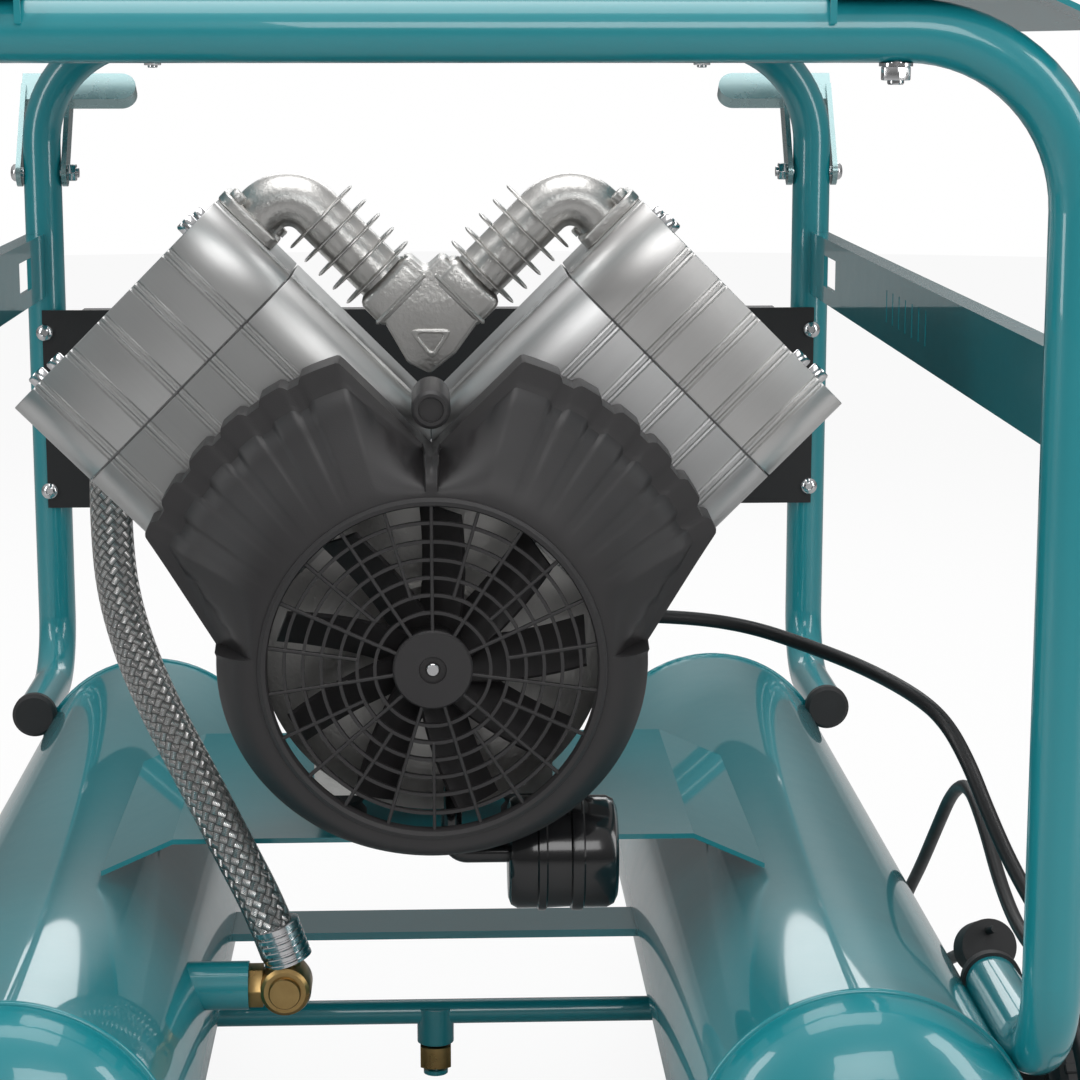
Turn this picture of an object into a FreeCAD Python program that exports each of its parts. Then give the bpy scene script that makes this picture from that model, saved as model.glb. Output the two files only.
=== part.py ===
import FreeCAD, Part
import math
import os
import re

import Sketcher
from FreeCAD import Placement, Rotation, Vector

# Portable twin-tank air compressor with a roll cage, millimetres.
# +X is the machine's right seen from its fan end, +Y runs from the fan end to the control panel,
# +Z is up. The origin is on the ground under the middle of the machine.
# "Behind" and "run" are distances along +Y from the front hoop, "rise" is height over the tank axes.

SIZES = {
    # tanks
    "tank_radius": 90, "tank_wall": 3, "tank_spacing": 440, "tank_height": 175, "tank_shell_length": 765,
    "tank_start": 22, "dome_depth": 45, "seam_bead": 2,
    # roll cage
    "front_hoop_y": -473.5, "hoop_spacing": 910, "tube_radius": 15, "tube_wall": 2.5, "weld_depth": 1,
    "foot_angle": 30, "top_rise": 572, "corner_radius": 85, "foot_bend": 50, "foot_length": 138,
    "cap_radius": 17, "cap_length": 8, "cap_stem": 20, "stem_play": 0.15,
    "rail_bottom": 366, "rail_tall": 50, "rail_sheet": 3, "rail_lip": 14, "slit_wide": 3, "slit_tall": 22,
    "slit_pitch": 24, "slit_count": 7, "hand_slot_long": 60, "hand_slot_tall": 24,
    "crossbar_wide": 45, "crossbar_thick": 5, "crossbar_run": 405, "link_radius": 8, "link_drop": 60,
    # platform and top rails
    "plate_sheet": 3, "deck_rise": 108, "deck_half": 152, "wing_wide": 46, "wing_slope": 24,
    "deck_run": 234, "deck_depth": 243,
    "strip_half": 288, "strip_wing": 36, "strip_overhang": 18, "rail_inner_x": 186, "strip_lip": 12,
    # rear panel
    "panel_sheet": 2.5, "panel_bottom": 194, "panel_tall": 161, "panel_overlap": 2, "panel_lip": 18,
    "panel_bolt_low": 208, "panel_bolt_high": 337,
    # M8 frame bolts
    "bolt_radius": 4, "bolt_play": 0.2, "bolt_head_radius": 7, "bolt_head_tall": 4.5, "washer_radius": 8,
    "washer_thick": 1.6, "nut_radius": 7.5, "nut_tall": 6.5, "strip_bolt_x": 220,
    # running gear
    "wheel_radius": 100, "wheel_wide": 45, "rim_radius": 68, "hub_radius": 20, "hub_wide": 41,
    "axle_radius": 10, "running_play": 0.05, "axle_height": 100, "wheel_x": 372.5, "wheel_run": 212,
    "bracket_half": 30, "bracket_outer_x": 318, "bracket_inner_x": 262, "side_play": 0.5,
    "retainer_radius": 16, "retainer_thick": 4,
    "foot_run": 740, "rubber_foot_radius": 24, "rubber_foot_tall": 35, "foot_block": 50,
    # carrying handles
    "pivot_rise": 464, "handle_lean": 35, "cheek_thick": 4, "cheek_wide": 22, "cheek_gap": 1,
    "cheek_length": 78, "grip_tall": 25, "grip_thick": 14, "grip_reach": 52,
    # pump
    "crank_rise": 237, "pump_run": 242, "block_depth": 110, "block_half": 79, "block_shift": 11,
    "block_base": 80, "block_gap": 0.5,
    "block_deck": 196, "valve_plate_thick": 4, "head_top": 255, "bore_radius": 35, "groove_wide": 7,
    "groove_deep": 6, "case_radius": 98, "case_cavity": 70, "case_front": 8, "case_depth": 98,
    "case_wall": 9, "boss_radius": 34, "boss_out": 12, "bearing_radius": 26, "bearing_wide": 13,
    "shaft_radius": 12.5, "web_radius": 30, "web_thick": 10, "throw": 10, "pin_radius": 8, "web_gap": 28,
    "piston_tall": 18, "rod_half": 9, "rod_thick": 11, "rod_offset": 6.5, "eye_half": 20, "eye_wall": 8,
    "screw_radius": 3, "screw_long": 30, "screw_head": 5.5, "screw_inset": 20, "cap_nut_radius": 8,
    "top_play": 1.5, "fan_radius": 84, "fan_hub": 20, "fan_front": 11, "fan_deep": 30,
    "blade_count": 9, "blade_thick": 3, "blade_pitch": 35, "nose_radius": 10,
    "motor_radius": 74, "motor_wall": 4, "motor_start": 12, "motor_length": 150, "cover_thick": 14,
    "stator_length": 110, "stator_radius": 41, "rotor_play": 1,
    "mount_radius": 15, "mount_tall": 20, "mount_half": 55, "mount_front_run": 273, "mount_rear_run": 435,
    "pedestal_half_x": 70, "pedestal_half_y": 20,
    # shroud
    "shroud_front": 122, "shroud_deep": 61, "shroud_radius": 107, "shroud_wall": 3, "ear_radius": 169,
    "ear_half": 71, "ear_shift": 7, "nose_boss_radius": 10.5, "nose_boss_rise": 139, "nose_boss_inset": 7,
    "grille_radius": 90, "grille_hub": 20, "grille_bar": 3, "grille_deep": 4, "spoke_count": 11,
    "ring_count": 6,
    # air path
    "pipe_radius": 15, "pipe_wall": 3, "elbow_radius": 21, "pipe_offset": 32, "port_radial": 234,
    "flange_half": 22, "flange_thick": 7, "fin_radius": 24.5, "fin_thick": 3, "fin_pitch": 11,
    "fin_first": 164, "fin_count": 5, "pipe_end": 158, "junction_radius": 21, "junction_stand": 10,
    "filter_radius": 32, "filter_long": 62, "filter_x": 73, "filter_rise": 112, "filter_run": 199,
    "filter_neck": 6, "filter_neck_x": 10,
    "stub_radius": 14, "stub_x": 107, "valve_x": 86, "valve_run": 205, "valve_rise": 32,
    "valve_radius": 15, "valve_long": 34, "valve_nut": 13, "hose_radius": 12.5, "ferrule_radius": 14,
    "ferrule_long": 24, "elbow_fitting": 9,
    # electrics and controls
    "box_x": 68, "box_long": 64, "box_run": 300, "box_deep": 90, "box_rise": 196, "box_tall": 56,
    "gland_radius": 9, "gland_long": 20, "cord_radius": 4.2,
    "switch_x": 190, "switch_half": 45, "switch_tall": 62, "switch_deep": 55, "knob_radius": 17,
    "knob_long": 18, "knob_stem": 6, "regulator_x": 60, "regulator_rise": 262, "regulator_radius": 22,
    "regulator_deep": 32, "regulator_knob_radius": 20, "regulator_knob_long": 26,
    "gauge_radius": 22, "gauge_deep": 26, "gauge_recess": 7, "gauge_first_x": -40, "gauge_second_x": 130,
    "gauge_rise": 300, "needle_long": 15, "needle_wide": 2.4, "needle_thick": 0.8, "needle_pin": 1.5,
    "coupling_radius": 11, "coupling_deep": 52, "coupling_low": 222, "coupling_first_x": 30,
    "coupling_second_x": 90, "safety_x": 200, "safety_radius": 9, "safety_deep": 34, "ring_radius": 12,
    "ring_wire": 1.5, "drain_neck": 5, "drain_body": 12, "drain_knob": 14, "drain_knob_tall": 14,
    "plug_radius": 17, "plug_long": 34, "plug_grip": 18, "plug_tip": 26,
    "plug_pin_radius": 2.4, "plug_pin_apart": 9.5,
}

# places worked out from the sizes
PLACES = {
    "weld_reach": "tank_radius + tube_radius - weld_depth",
    "hoop_half": "tank_spacing / 2 + weld_reach * cos(foot_angle)",
    "foot_z": "tank_height + weld_reach * sin(foot_angle)",
    "top_z": "tank_height + top_rise",
    "rear_hoop_y": "front_hoop_y + hoop_spacing",
    "tank_x": "tank_spacing / 2",
    "tank_y": "front_hoop_y + tank_start + tank_shell_length / 2",
    "crank_z": "tank_height + crank_rise",
    "pump_y": "front_hoop_y + pump_run",
    "block_front_y": "pump_y - block_depth / 2",
    "deck_z": "tank_height + deck_rise",
    "rail_z": "top_z + tube_radius",
    "panel_y": "rear_hoop_y - tube_radius",
    "axle_y": "front_hoop_y + wheel_run",
    "pivot_z": "tank_height + pivot_rise",
    "case_front_y": "block_front_y + case_front",
    "case_rear_y": "case_front_y + case_depth",
    "motor_y": "case_rear_y + motor_start",
    "cover_y": "motor_y + motor_length",
    "shroud_y": "front_hoop_y + shroud_front",
    "stroke_mid": "block_deck - top_play - throw",
    "pipe_x": "-(block_half + block_shift + pipe_offset)",
    "inner_face": "-(block_half + block_shift)",
    "saddle_z": "crank_z - inner_face * 1.4142",
    "bend_x": "pipe_x + elbow_radius",
    "bend_z": "port_radial - elbow_radius",
    "filter_y": "front_hoop_y + filter_run",
    "valve_y": "front_hoop_y + valve_run",
    "valve_z": "tank_height + valve_rise",
    "box_y": "front_hoop_y + box_run",
    "drain_z": "tank_height - link_drop",
    "mount_top_z": "deck_z + plate_sheet + mount_tall",
}

doc = FreeCAD.newDocument("air_compressor")
sheet = doc.addObject("Spreadsheet::Sheet", "size")
for row, (alias, value) in enumerate(SIZES.items(), start=1):
    sheet.set(f"A{row}", alias)
    sheet.set(f"B{row}", str(value))
    sheet.setAlias(f"B{row}", alias)
doc.recompute()

pieces = {}


def formula(text):
    """Turn plain words into references to the sheet, with the worked-out places spelled out."""
    def swap(match):
        word = match.group(0)
        if word in PLACES:
            return "(" + formula(PLACES[word]) + ")"
        return "size." + word if word in SIZES else word
    return re.sub(r"[a-z_]+", swap, str(text))


def number(text):
    return float(sheet.evalExpression(formula(text)))


def bind(thing, **properties):
    for name, text in properties.items():
        thing.setExpression(name, formula(text))
    return thing


def place(thing, x=0, y=0, z=0, turn=None):
    if turn:
        thing.Placement = Placement(Vector(), turn)
    for axis, text in (("x", x), ("y", y), ("z", z)):
        thing.setExpression("Placement.Base." + axis, formula(text))
    return thing


def angle_about(axis, degrees):
    return Rotation(Vector(*axis), degrees)


UP = Rotation()
ALONG_X = angle_about((0, 1, 0), 90)
ALONG_Y = angle_about((1, 0, 0), -90)
DIRECTIONS = {"x": ALONG_X, "y": ALONG_Y, "z": UP}


def box(x, y, z, long, deep, tall):
    """Block from its lowest corner."""
    return place(bind(doc.addObject("Part::Box"), Length=long, Width=deep, Height=tall), x, y, z)


def centred_box(x, y, z, long, deep, tall):
    return box(f"({x}) - ({long}) / 2", f"({y}) - ({deep}) / 2", f"({z}) - ({tall}) / 2", long, deep, tall)


def rod(radius, long, x, y, z, along="z", sides=0):
    kind = "Part::Prism" if sides else "Part::Cylinder"
    thing = doc.addObject(kind)
    if sides:
        thing.Polygon = sides
        bind(thing, Circumradius=radius, Height=long)
    else:
        bind(thing, Radius=radius, Height=long)
    return place(thing, x, y, z, DIRECTIONS[along])


def arc_tube(bend, radius, sweep, x, y, z, start, end):
    """Part of a torus that turns from the direction start to the direction end."""
    thing = bind(doc.addObject("Part::Torus"), Radius1=bend, Radius2=radius, Angle3=sweep)
    first, second = Vector(*start), Vector(*end)
    return place(thing, x, y, z, Rotation(first, second, first.cross(second), "XYZ"))


def fuse(*parts):
    thing = doc.addObject("Part::MultiFuse")
    thing.Shapes = list(parts)
    return thing


def cut(base, *tools):
    thing = doc.addObject("Part::Cut")
    thing.Base = base
    thing.Tool = tools[0] if len(tools) == 1 else fuse(*tools)
    return thing


def common(first, second):
    thing = doc.addObject("Part::MultiCommon")
    thing.Shapes = [first, second]
    return thing


def group(*parts):
    thing = doc.addObject("Part::Compound")
    thing.Links = list(parts)
    return thing


def mirrored(source, normal=(1, 0, 0)):
    thing = doc.addObject("Part::Mirroring")
    thing.Source = source
    thing.Normal = normal
    return thing


def sketch_on(body, role, corners):
    """Closed outline whose corners are held by formulas."""
    sketch = body.newObject("Sketcher::SketchObject")
    plane = next(item for item in body.Origin.OriginFeatures if item.Role == role)
    sketch.AttachmentSupport = [(plane, "")]
    sketch.MapMode = "FlatFace"
    spots = [Vector(number(across), number(up), 0) for across, up in corners]
    count = len(spots)
    for index, spot in enumerate(spots):
        sketch.addGeometry(Part.LineSegment(spot, spots[(index + 1) % count]), False)
    for index in range(count):
        sketch.addConstraint(Sketcher.Constraint("Coincident", index, 2, (index + 1) % count, 1))
    for index, (spot, corner) in enumerate(zip(spots, corners)):
        for way, start, text in (("DistanceX", spot.x, corner[0]), ("DistanceY", spot.y, corner[1])):
            held = sketch.addConstraint(Sketcher.Constraint(way, -1, 1, index, 1, start))
            sketch.setExpression(f"Constraints[{held}]", formula(text))
    return sketch


def padded(corners, thick, role="XZ_Plane"):
    """Sheet or bar: an outline thickened evenly to both sides of its plane."""
    body = doc.addObject("PartDesign::Body")
    pad = body.newObject("PartDesign::Pad")
    pad.Profile = sketch_on(body, role, corners)
    pad.SideType = "Symmetric"
    pad.setExpression("Length", formula(thick))
    return body


def turned(profile, x, y, z, along="z"):
    """Lathe piece: (radius, distance along the axis) corners turned about the axis."""
    body = doc.addObject("PartDesign::Body")
    sketch = sketch_on(body, "XZ_Plane", profile)
    spin = body.newObject("PartDesign::Revolution")
    spin.Profile = sketch
    spin.ReferenceAxis = (sketch, ["V_Axis"])
    spin.Angle = 360
    return place(body, x, y, z, DIRECTIONS[along])


def piece(name, thing):
    thing.Label = name
    pieces[name] = thing
    return thing


def both_sides(name, right):
    piece(name + "_right", right)
    piece(name + "_left", mirrored(right))


# ---- tanks ------------------------------------------------------------------------------------

def tank_skin(inset):
    """Straight shell with two shallow domed ends, shrunk by the inset."""
    radius = f"tank_radius - {inset}"
    parts = [rod(radius, "tank_shell_length", "tank_x", "tank_y - tank_shell_length / 2", "tank_height", "y")]
    for end in ("-", "+"):
        dome = bind(doc.addObject("Part::Ellipsoid"), Radius1=f"dome_depth - {inset}", Radius2=radius,
                    Radius3=radius)
        parts.append(place(dome, "tank_x", f"tank_y {end} tank_shell_length / 2", "tank_height", ALONG_Y))
    return fuse(*parts)


def tank_right():
    seams = []
    for end in ("-", "+"):
        bead = bind(doc.addObject("Part::Torus"), Radius1="tank_radius", Radius2="seam_bead")
        seams.append(place(bead, "tank_x", f"tank_y {end} tank_shell_length / 2", "tank_height", ALONG_Y))
    return cut(fuse(tank_skin(0), *seams), tank_skin("tank_wall"))


def tank_space(side="+"):
    """The room that a tank takes up, for trimming what is welded to it."""
    return rod("tank_radius", "hoop_spacing * 2", f"{side} tank_x", "-hoop_spacing", "tank_height", "y")


def tank_left():
    """The left tank also carries the welded stub that the non-return valve screws into."""
    stub = cut(rod("stub_radius", "tank_x - stub_x", "-tank_x", "valve_y", "valve_z", "x"), tank_space("-"))
    return fuse(mirrored(pieces["tank_right"]), stub)


piece("tank_right", tank_right())
piece("tank_left", tank_left())
piece("tank_crossbar", cut(
    centred_box(0, "front_hoop_y + crossbar_run", "tank_height", "tank_spacing", "crossbar_wide",
                "crossbar_thick"),
    tank_space(), tank_space("-")))


# ---- roll cage --------------------------------------------------------------------------------

def hoop_run(y, inward, shrink):
    """Inverted U of tube whose lower ends turn along the machine and lie on the tanks."""
    radius = f"tube_radius - {shrink}"
    parts = [rod(radius, "2 * (hoop_half - corner_radius)", "corner_radius - hoop_half", y, "top_z", "x")]
    for side in (1, -1):
        corner = ((side, 0, 0), (0, 0, 1)) if side > 0 else ((0, 0, 1), (-1, 0, 0))
        upright_z = "foot_z + foot_bend"
        parts += [
            arc_tube("corner_radius", radius, "90", f"{side} * (hoop_half - corner_radius)", y,
                     "top_z - corner_radius", *corner),
            rod(radius, f"top_z - corner_radius - ({upright_z})", f"{side} * hoop_half", y, upright_z),
            arc_tube("foot_bend", radius, "90", f"{side} * hoop_half", f"{y} + {inward} * foot_bend",
                     upright_z, (0, -inward, 0), (0, 0, -1)),
        ]
        start = f"{y} + foot_bend" if inward > 0 else f"{y} - foot_length"
        parts.append(rod(radius, "foot_length - foot_bend", f"{side} * hoop_half", start, "foot_z", "y"))
    return fuse(*parts)


def strip_bolt_holes(y):
    return [rod("bolt_radius + bolt_play", "4 * tube_radius", f"{side} * strip_bolt_x", y,
                "top_z - 2 * tube_radius") for side in (1, -1)]


def rear_hoop_holes():
    holes = strip_bolt_holes("rear_hoop_y")
    for side in (1, -1):
        for rise in ("panel_bolt_low", "panel_bolt_high"):
            holes.append(rod("bolt_radius + bolt_play", "tube_radius", f"{side} * hoop_half",
                             "rear_hoop_y - tube_radius - 1", f"tank_height + {rise}", "y"))
        holes.append(rod("bolt_radius + bolt_play", "4 * tube_radius",
                         f"{side} * hoop_half - 2 * tube_radius", "rear_hoop_y", "pivot_z", "x"))
    return holes


def hoop(y, inward, holes):
    return cut(hoop_run(y, inward, 0), hoop_run(y, inward, "tube_wall"), *holes)


def hoop_caps():
    caps = []
    for y, inward in (("front_hoop_y", 1), ("rear_hoop_y", -1)):
        for side in (1, -1):
            profile = [(0, f"-{inward} * cap_stem"),
                       ("tube_radius - tube_wall - stem_play", f"-{inward} * cap_stem"),
                       ("tube_radius - tube_wall - stem_play", "0"), ("cap_radius", "0"),
                       ("cap_radius", f"{inward} * cap_length * 0.7"),
                       ("cap_radius * 0.85", f"{inward} * cap_length"), (0, f"{inward} * cap_length")]
            caps.append(turned(profile, f"{side} * hoop_half", f"{y} + {inward} * foot_length", "foot_z", "y"))
    return cut(group(*caps), tank_space(), tank_space("-"))


def side_rail():
    """Channel with both lips turned outwards, slit along its length and open as a hand slot."""
    low, high = "tank_height + rail_bottom", "tank_height + rail_bottom + rail_tall"
    inner, outer = "hoop_half - rail_sheet / 2", "hoop_half + rail_sheet / 2"
    lip = f"{outer} + rail_lip - rail_sheet"
    channel = padded([(inner, low), (lip, low), (lip, f"{low} + rail_sheet"), (outer, f"{low} + rail_sheet"),
                      (outer, f"{high} - rail_sheet"), (lip, f"{high} - rail_sheet"), (lip, high),
                      (inner, high)], "hoop_spacing - 2 * tube_radius + 2 * weld_depth")
    place(channel, y="front_hoop_y + hoop_spacing / 2")
    middle = f"{low} + rail_tall / 2"
    holes = [centred_box("hoop_half", f"front_hoop_y + hoop_spacing / 2 + {step - 3} * slit_pitch", middle,
                         "3 * rail_sheet", "slit_wide", "slit_tall") for step in range(SIZES["slit_count"])]
    holes.append(centred_box("hoop_half", "rear_hoop_y - 2 * hand_slot_long", middle, "3 * rail_sheet",
                             "hand_slot_long", "hand_slot_tall"))
    return cut(channel, *holes)


piece("front_hoop", hoop("front_hoop_y", 1, strip_bolt_holes("front_hoop_y")))
piece("rear_hoop", hoop("rear_hoop_y", -1, rear_hoop_holes()))
piece("hoop_caps", hoop_caps())
both_sides("side_rail", side_rail())


# ---- sheet-metal pieces -----------------------------------------------------------------------

def winged_plate(half, wing, slope, top, depth):
    """Flat plate whose two edges slope down."""
    drop = f"{wing} * sin({slope})"
    reach = f"{half} + {wing} * cos({slope})"
    upper = [(f"-({reach})", f"{top} - {drop}"), (f"-({half})", top), (half, top), (reach, f"{top} - {drop}")]
    lower = [(across, f"{up} - plate_sheet") for across, up in reversed(upper)]
    return padded(upper + lower, depth)


def pump_platform():
    """Saddle plate that stands with both wings on the tanks."""
    plate = winged_plate("deck_half", "wing_wide", "wing_slope", "deck_z + plate_sheet", "deck_depth")
    place(plate, y="front_hoop_y + deck_run + deck_depth / 2")
    return cut(plate, tank_space(), tank_space("-"))


def top_rails():
    """Folded strips bolted along the tops of both hoops: a lip inside, a flat, a sloping wing outside."""
    inner, top = "rail_inner_x", "rail_z + plate_sheet"
    drop = "strip_wing * sin(wing_slope)"
    reach = "strip_half + strip_wing * cos(wing_slope)"
    strip = padded([(inner, "rail_z - strip_lip"), (f"{inner} + plate_sheet", "rail_z - strip_lip"),
                    (f"{inner} + plate_sheet", "rail_z"), ("strip_half", "rail_z"),
                    (reach, f"rail_z - {drop}"), (reach, f"{top} - {drop}"), ("strip_half", top), (inner, top)],
                   "hoop_spacing + 2 * strip_overhang")
    place(strip, y="front_hoop_y + hoop_spacing / 2")
    holes = [rod("bolt_radius + bolt_play", "4 * plate_sheet", "strip_bolt_x", y, "rail_z - plate_sheet")
             for y in ("front_hoop_y", "rear_hoop_y")]
    notches = [centred_box(inner, y, "rail_z - strip_lip / 2", "6 * plate_sheet", "2 * tube_radius + 4",
                           "strip_lip + 0.2") for y in ("front_hoop_y", "rear_hoop_y")]
    right = cut(strip, *holes, *notches)
    return group(right, mirrored(right))


def rear_panel():
    """Control panel across the inner side of the rear hoop, its top edge folded back."""
    low = "tank_height + panel_bottom"
    half = "hoop_half + panel_overlap"
    plate = box(f"-({half})", "panel_y - panel_sheet", low, f"2 * ({half})", "panel_sheet", "panel_tall")
    lip = box("tube_radius * 2 - hoop_half", "panel_y - panel_sheet", f"{low} + panel_tall - panel_sheet",
              "2 * (hoop_half - tube_radius * 2)", "panel_lip", "panel_sheet")
    holes = [rod("bolt_radius + bolt_play", "4 * panel_sheet", f"{side} * hoop_half",
                 "panel_y - 2 * panel_sheet", f"tank_height + {rise}", "y")
             for side in (1, -1) for rise in ("panel_bolt_low", "panel_bolt_high")]
    return cut(fuse(plate, lip), *holes)


def button_bolt(x, y, z, along, length, backwards=False):
    """Domed head at the given point, with its shank running along the axis."""
    way = "-" if backwards else ""
    profile = [(0, f"-({way}bolt_head_tall)"), ("bolt_head_radius * 0.7", f"-({way}bolt_head_tall)"),
               ("bolt_head_radius", f"-({way}bolt_head_tall * 0.4)"), ("bolt_head_radius", 0),
               ("bolt_radius", 0), ("bolt_radius", f"{way}({length})"), (0, f"{way}({length})")]
    return turned(profile, x, y, z, along)


def frame_bolts():
    """The M8 bolts of the cage: top rails, control panel and handle pivots, with their nuts and washers."""
    parts = []
    for side in (1, -1):
        for y in ("front_hoop_y", "rear_hoop_y"):
            under = "top_z - tube_radius - washer_thick"
            parts += [
                button_bolt(f"{side} * strip_bolt_x", y, "rail_z + plate_sheet", "z",
                            "2 * tube_radius + plate_sheet + washer_thick + nut_tall + 2", backwards=True),
                cut(rod("washer_radius", "washer_thick", f"{side} * strip_bolt_x", y, under),
                    rod("bolt_radius", "3 * washer_thick", f"{side} * strip_bolt_x", y,
                        f"{under} - washer_thick")),
                cut(rod("nut_radius", "nut_tall", f"{side} * strip_bolt_x", y, f"{under} - nut_tall", sides=6),
                    rod("bolt_radius", "2 * nut_tall", f"{side} * strip_bolt_x", y,
                        f"{under} - 1.5 * nut_tall")),
            ]
        for rise in ("panel_bolt_low", "panel_bolt_high"):
            parts.append(button_bolt(f"{side} * hoop_half", "panel_y - panel_sheet", f"tank_height + {rise}",
                                     "y", "tube_wall + panel_sheet + 6"))
        span = "tube_radius + cheek_gap + cheek_thick + side_play"
        parts += [
            button_bolt(f"{side} * (hoop_half + {span})", "rear_hoop_y", "pivot_z", "x",
                        f"2 * ({span}) + nut_tall", backwards=side > 0),
            cut(rod("nut_radius", "nut_tall",
                    f"{side} * (hoop_half - ({span})) - {0.5 + side / 2} * nut_tall", "rear_hoop_y",
                    "pivot_z", "x", sides=6),
                rod("bolt_radius", "3 * nut_tall",
                    f"{side} * (hoop_half - ({span})) - {0.5 + side / 2} * nut_tall - nut_tall",
                    "rear_hoop_y", "pivot_z", "x")),
        ]
    return group(*parts)


piece("pump_platform", pump_platform())
piece("top_rails", top_rails())
piece("rear_panel", rear_panel())


# ---- running gear -----------------------------------------------------------------------------

def ground_brackets():
    """Blocks welded under the tanks: axle blocks in front, foot blocks behind."""
    axle_block = box("bracket_inner_x", "axle_y - bracket_half", "axle_height - 18",
                     "bracket_outer_x - bracket_inner_x", "2 * bracket_half", "60")
    foot = centred_box("tank_x", "front_hoop_y + foot_run", "rubber_foot_tall + tank_radius / 2", "foot_block",
                       "foot_block", "tank_radius")
    right = [cut(axle_block, tank_space(), rod("axle_radius", "200", "tank_x", "axle_y", "axle_height", "x")),
             cut(foot, tank_space())]
    return group(*right, *[mirrored(part) for part in right])


def wheel_axles():
    """Stub axles with a shoulder inside the wheel and a retaining cap outside."""
    inner = "wheel_x - hub_wide / 2 - side_play"
    outer = "wheel_x + hub_wide / 2 + side_play"
    origin = "bracket_outer_x - 30"
    shoulder = [("axle_radius + 6", f"bracket_outer_x - ({origin})"),
                ("axle_radius + 6", f"{inner} - ({origin})"), ("axle_radius", f"{inner} - ({origin})")]
    profile = [(0, 0), ("axle_radius", 0), ("axle_radius", f"bracket_outer_x - ({origin})"), *shoulder,
               ("axle_radius", f"{outer} - ({origin})"), ("retainer_radius", f"{outer} - ({origin})"),
               ("retainer_radius", f"{outer} + retainer_thick - ({origin})"),
               (0, f"{outer} + retainer_thick - ({origin})")]
    right = turned(profile, origin, "axle_y", "axle_height", "x")
    return group(right, mirrored(right))


def rim():
    """Dished steel wheel disc with a wide bead seat and a bored hub."""
    bore = "axle_radius + running_play"
    seat = "wheel_wide / 2 - 4"
    profile = [(bore, "-hub_wide / 2"), ("hub_radius", "-hub_wide / 2"), ("hub_radius", "-4"),
               ("rim_radius - 10", "2"), ("rim_radius - 8", f"-({seat})"), ("rim_radius", f"-({seat})"),
               ("rim_radius", seat), ("rim_radius - 8", seat), ("rim_radius - 10", "8"), ("hub_radius", "4"),
               ("hub_radius", "hub_wide / 2"), (bore, "hub_wide / 2")]
    return turned(profile, "wheel_x", "axle_y", "axle_height", "x")


def tyre():
    half = "wheel_wide / 2"
    profile = [("rim_radius", f"4 - {half}"), ("rim_radius + 6", f"-({half})"), ("wheel_radius - 12", f"-({half})"),
               ("wheel_radius - 4", f"4 - {half}"), ("wheel_radius", f"10 - {half}"),
               ("wheel_radius", f"{half} - 10"), ("wheel_radius - 4", f"{half} - 4"),
               ("wheel_radius - 12", half), ("rim_radius + 6", half), ("rim_radius", f"{half} - 4")]
    return turned(profile, "wheel_x", "axle_y", "axle_height", "x")


def rear_feet():
    profile = [(0, 0), ("rubber_foot_radius * 0.8", 0), ("rubber_foot_radius", 5),
               ("rubber_foot_radius", "rubber_foot_tall"), (0, "rubber_foot_tall")]
    right = turned(profile, "tank_x", "front_hoop_y + foot_run", 0)
    return group(right, mirrored(right))


piece("ground_brackets", ground_brackets())
piece("wheel_axles", wheel_axles())
both_sides("rim", rim())
both_sides("tyre", tyre())
piece("rear_feet", rear_feet())


# ---- carrying handles -------------------------------------------------------------------------

def handle():
    """Two cheeks either side of the upright, joined behind it by a grip that reaches inwards."""
    inner_face = "tube_radius + cheek_gap"
    cheeks = []
    for side in (1, -1):
        start = inner_face if side > 0 else f"-({inner_face}) - cheek_thick"
        cheeks += [box(start, "-cheek_wide / 2", 0, "cheek_thick", "cheek_wide", "cheek_length"),
                   rod("cheek_wide / 2", "cheek_thick", start, 0, 0, "x")]
    reach = f"{inner_face} + cheek_thick + grip_reach"
    grip_long = f"{reach} + {inner_face} + cheek_thick - grip_tall / 2"
    grip = box(f"grip_tall / 2 - ({reach})", "-grip_thick / 2", "cheek_length - grip_tall / 2", grip_long,
               "grip_thick", "grip_tall")
    end = rod("grip_tall / 2", "grip_thick", f"grip_tall / 2 - ({reach})", "-grip_thick / 2", "cheek_length", "y")
    pivot = rod("bolt_radius + running_play", "6 * tube_radius", "-3 * tube_radius", 0, 0, "x")
    whole = cut(fuse(*cheeks, grip, end), pivot)
    place(whole, "hoop_half", "rear_hoop_y", "pivot_z", angle_about((1, 0, 0), -SIZES["handle_lean"]))
    return whole


both_sides("handle", handle())


# ---- crankcase, motor and mounts --------------------------------------------------------------

def on_bank(thing, y="pump_y"):
    """Lean a piece that was built upright on the crank axis onto the right-hand bank."""
    return place(thing, 0, y, "crank_z", angle_about((0, 1, 0), 45))


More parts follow.
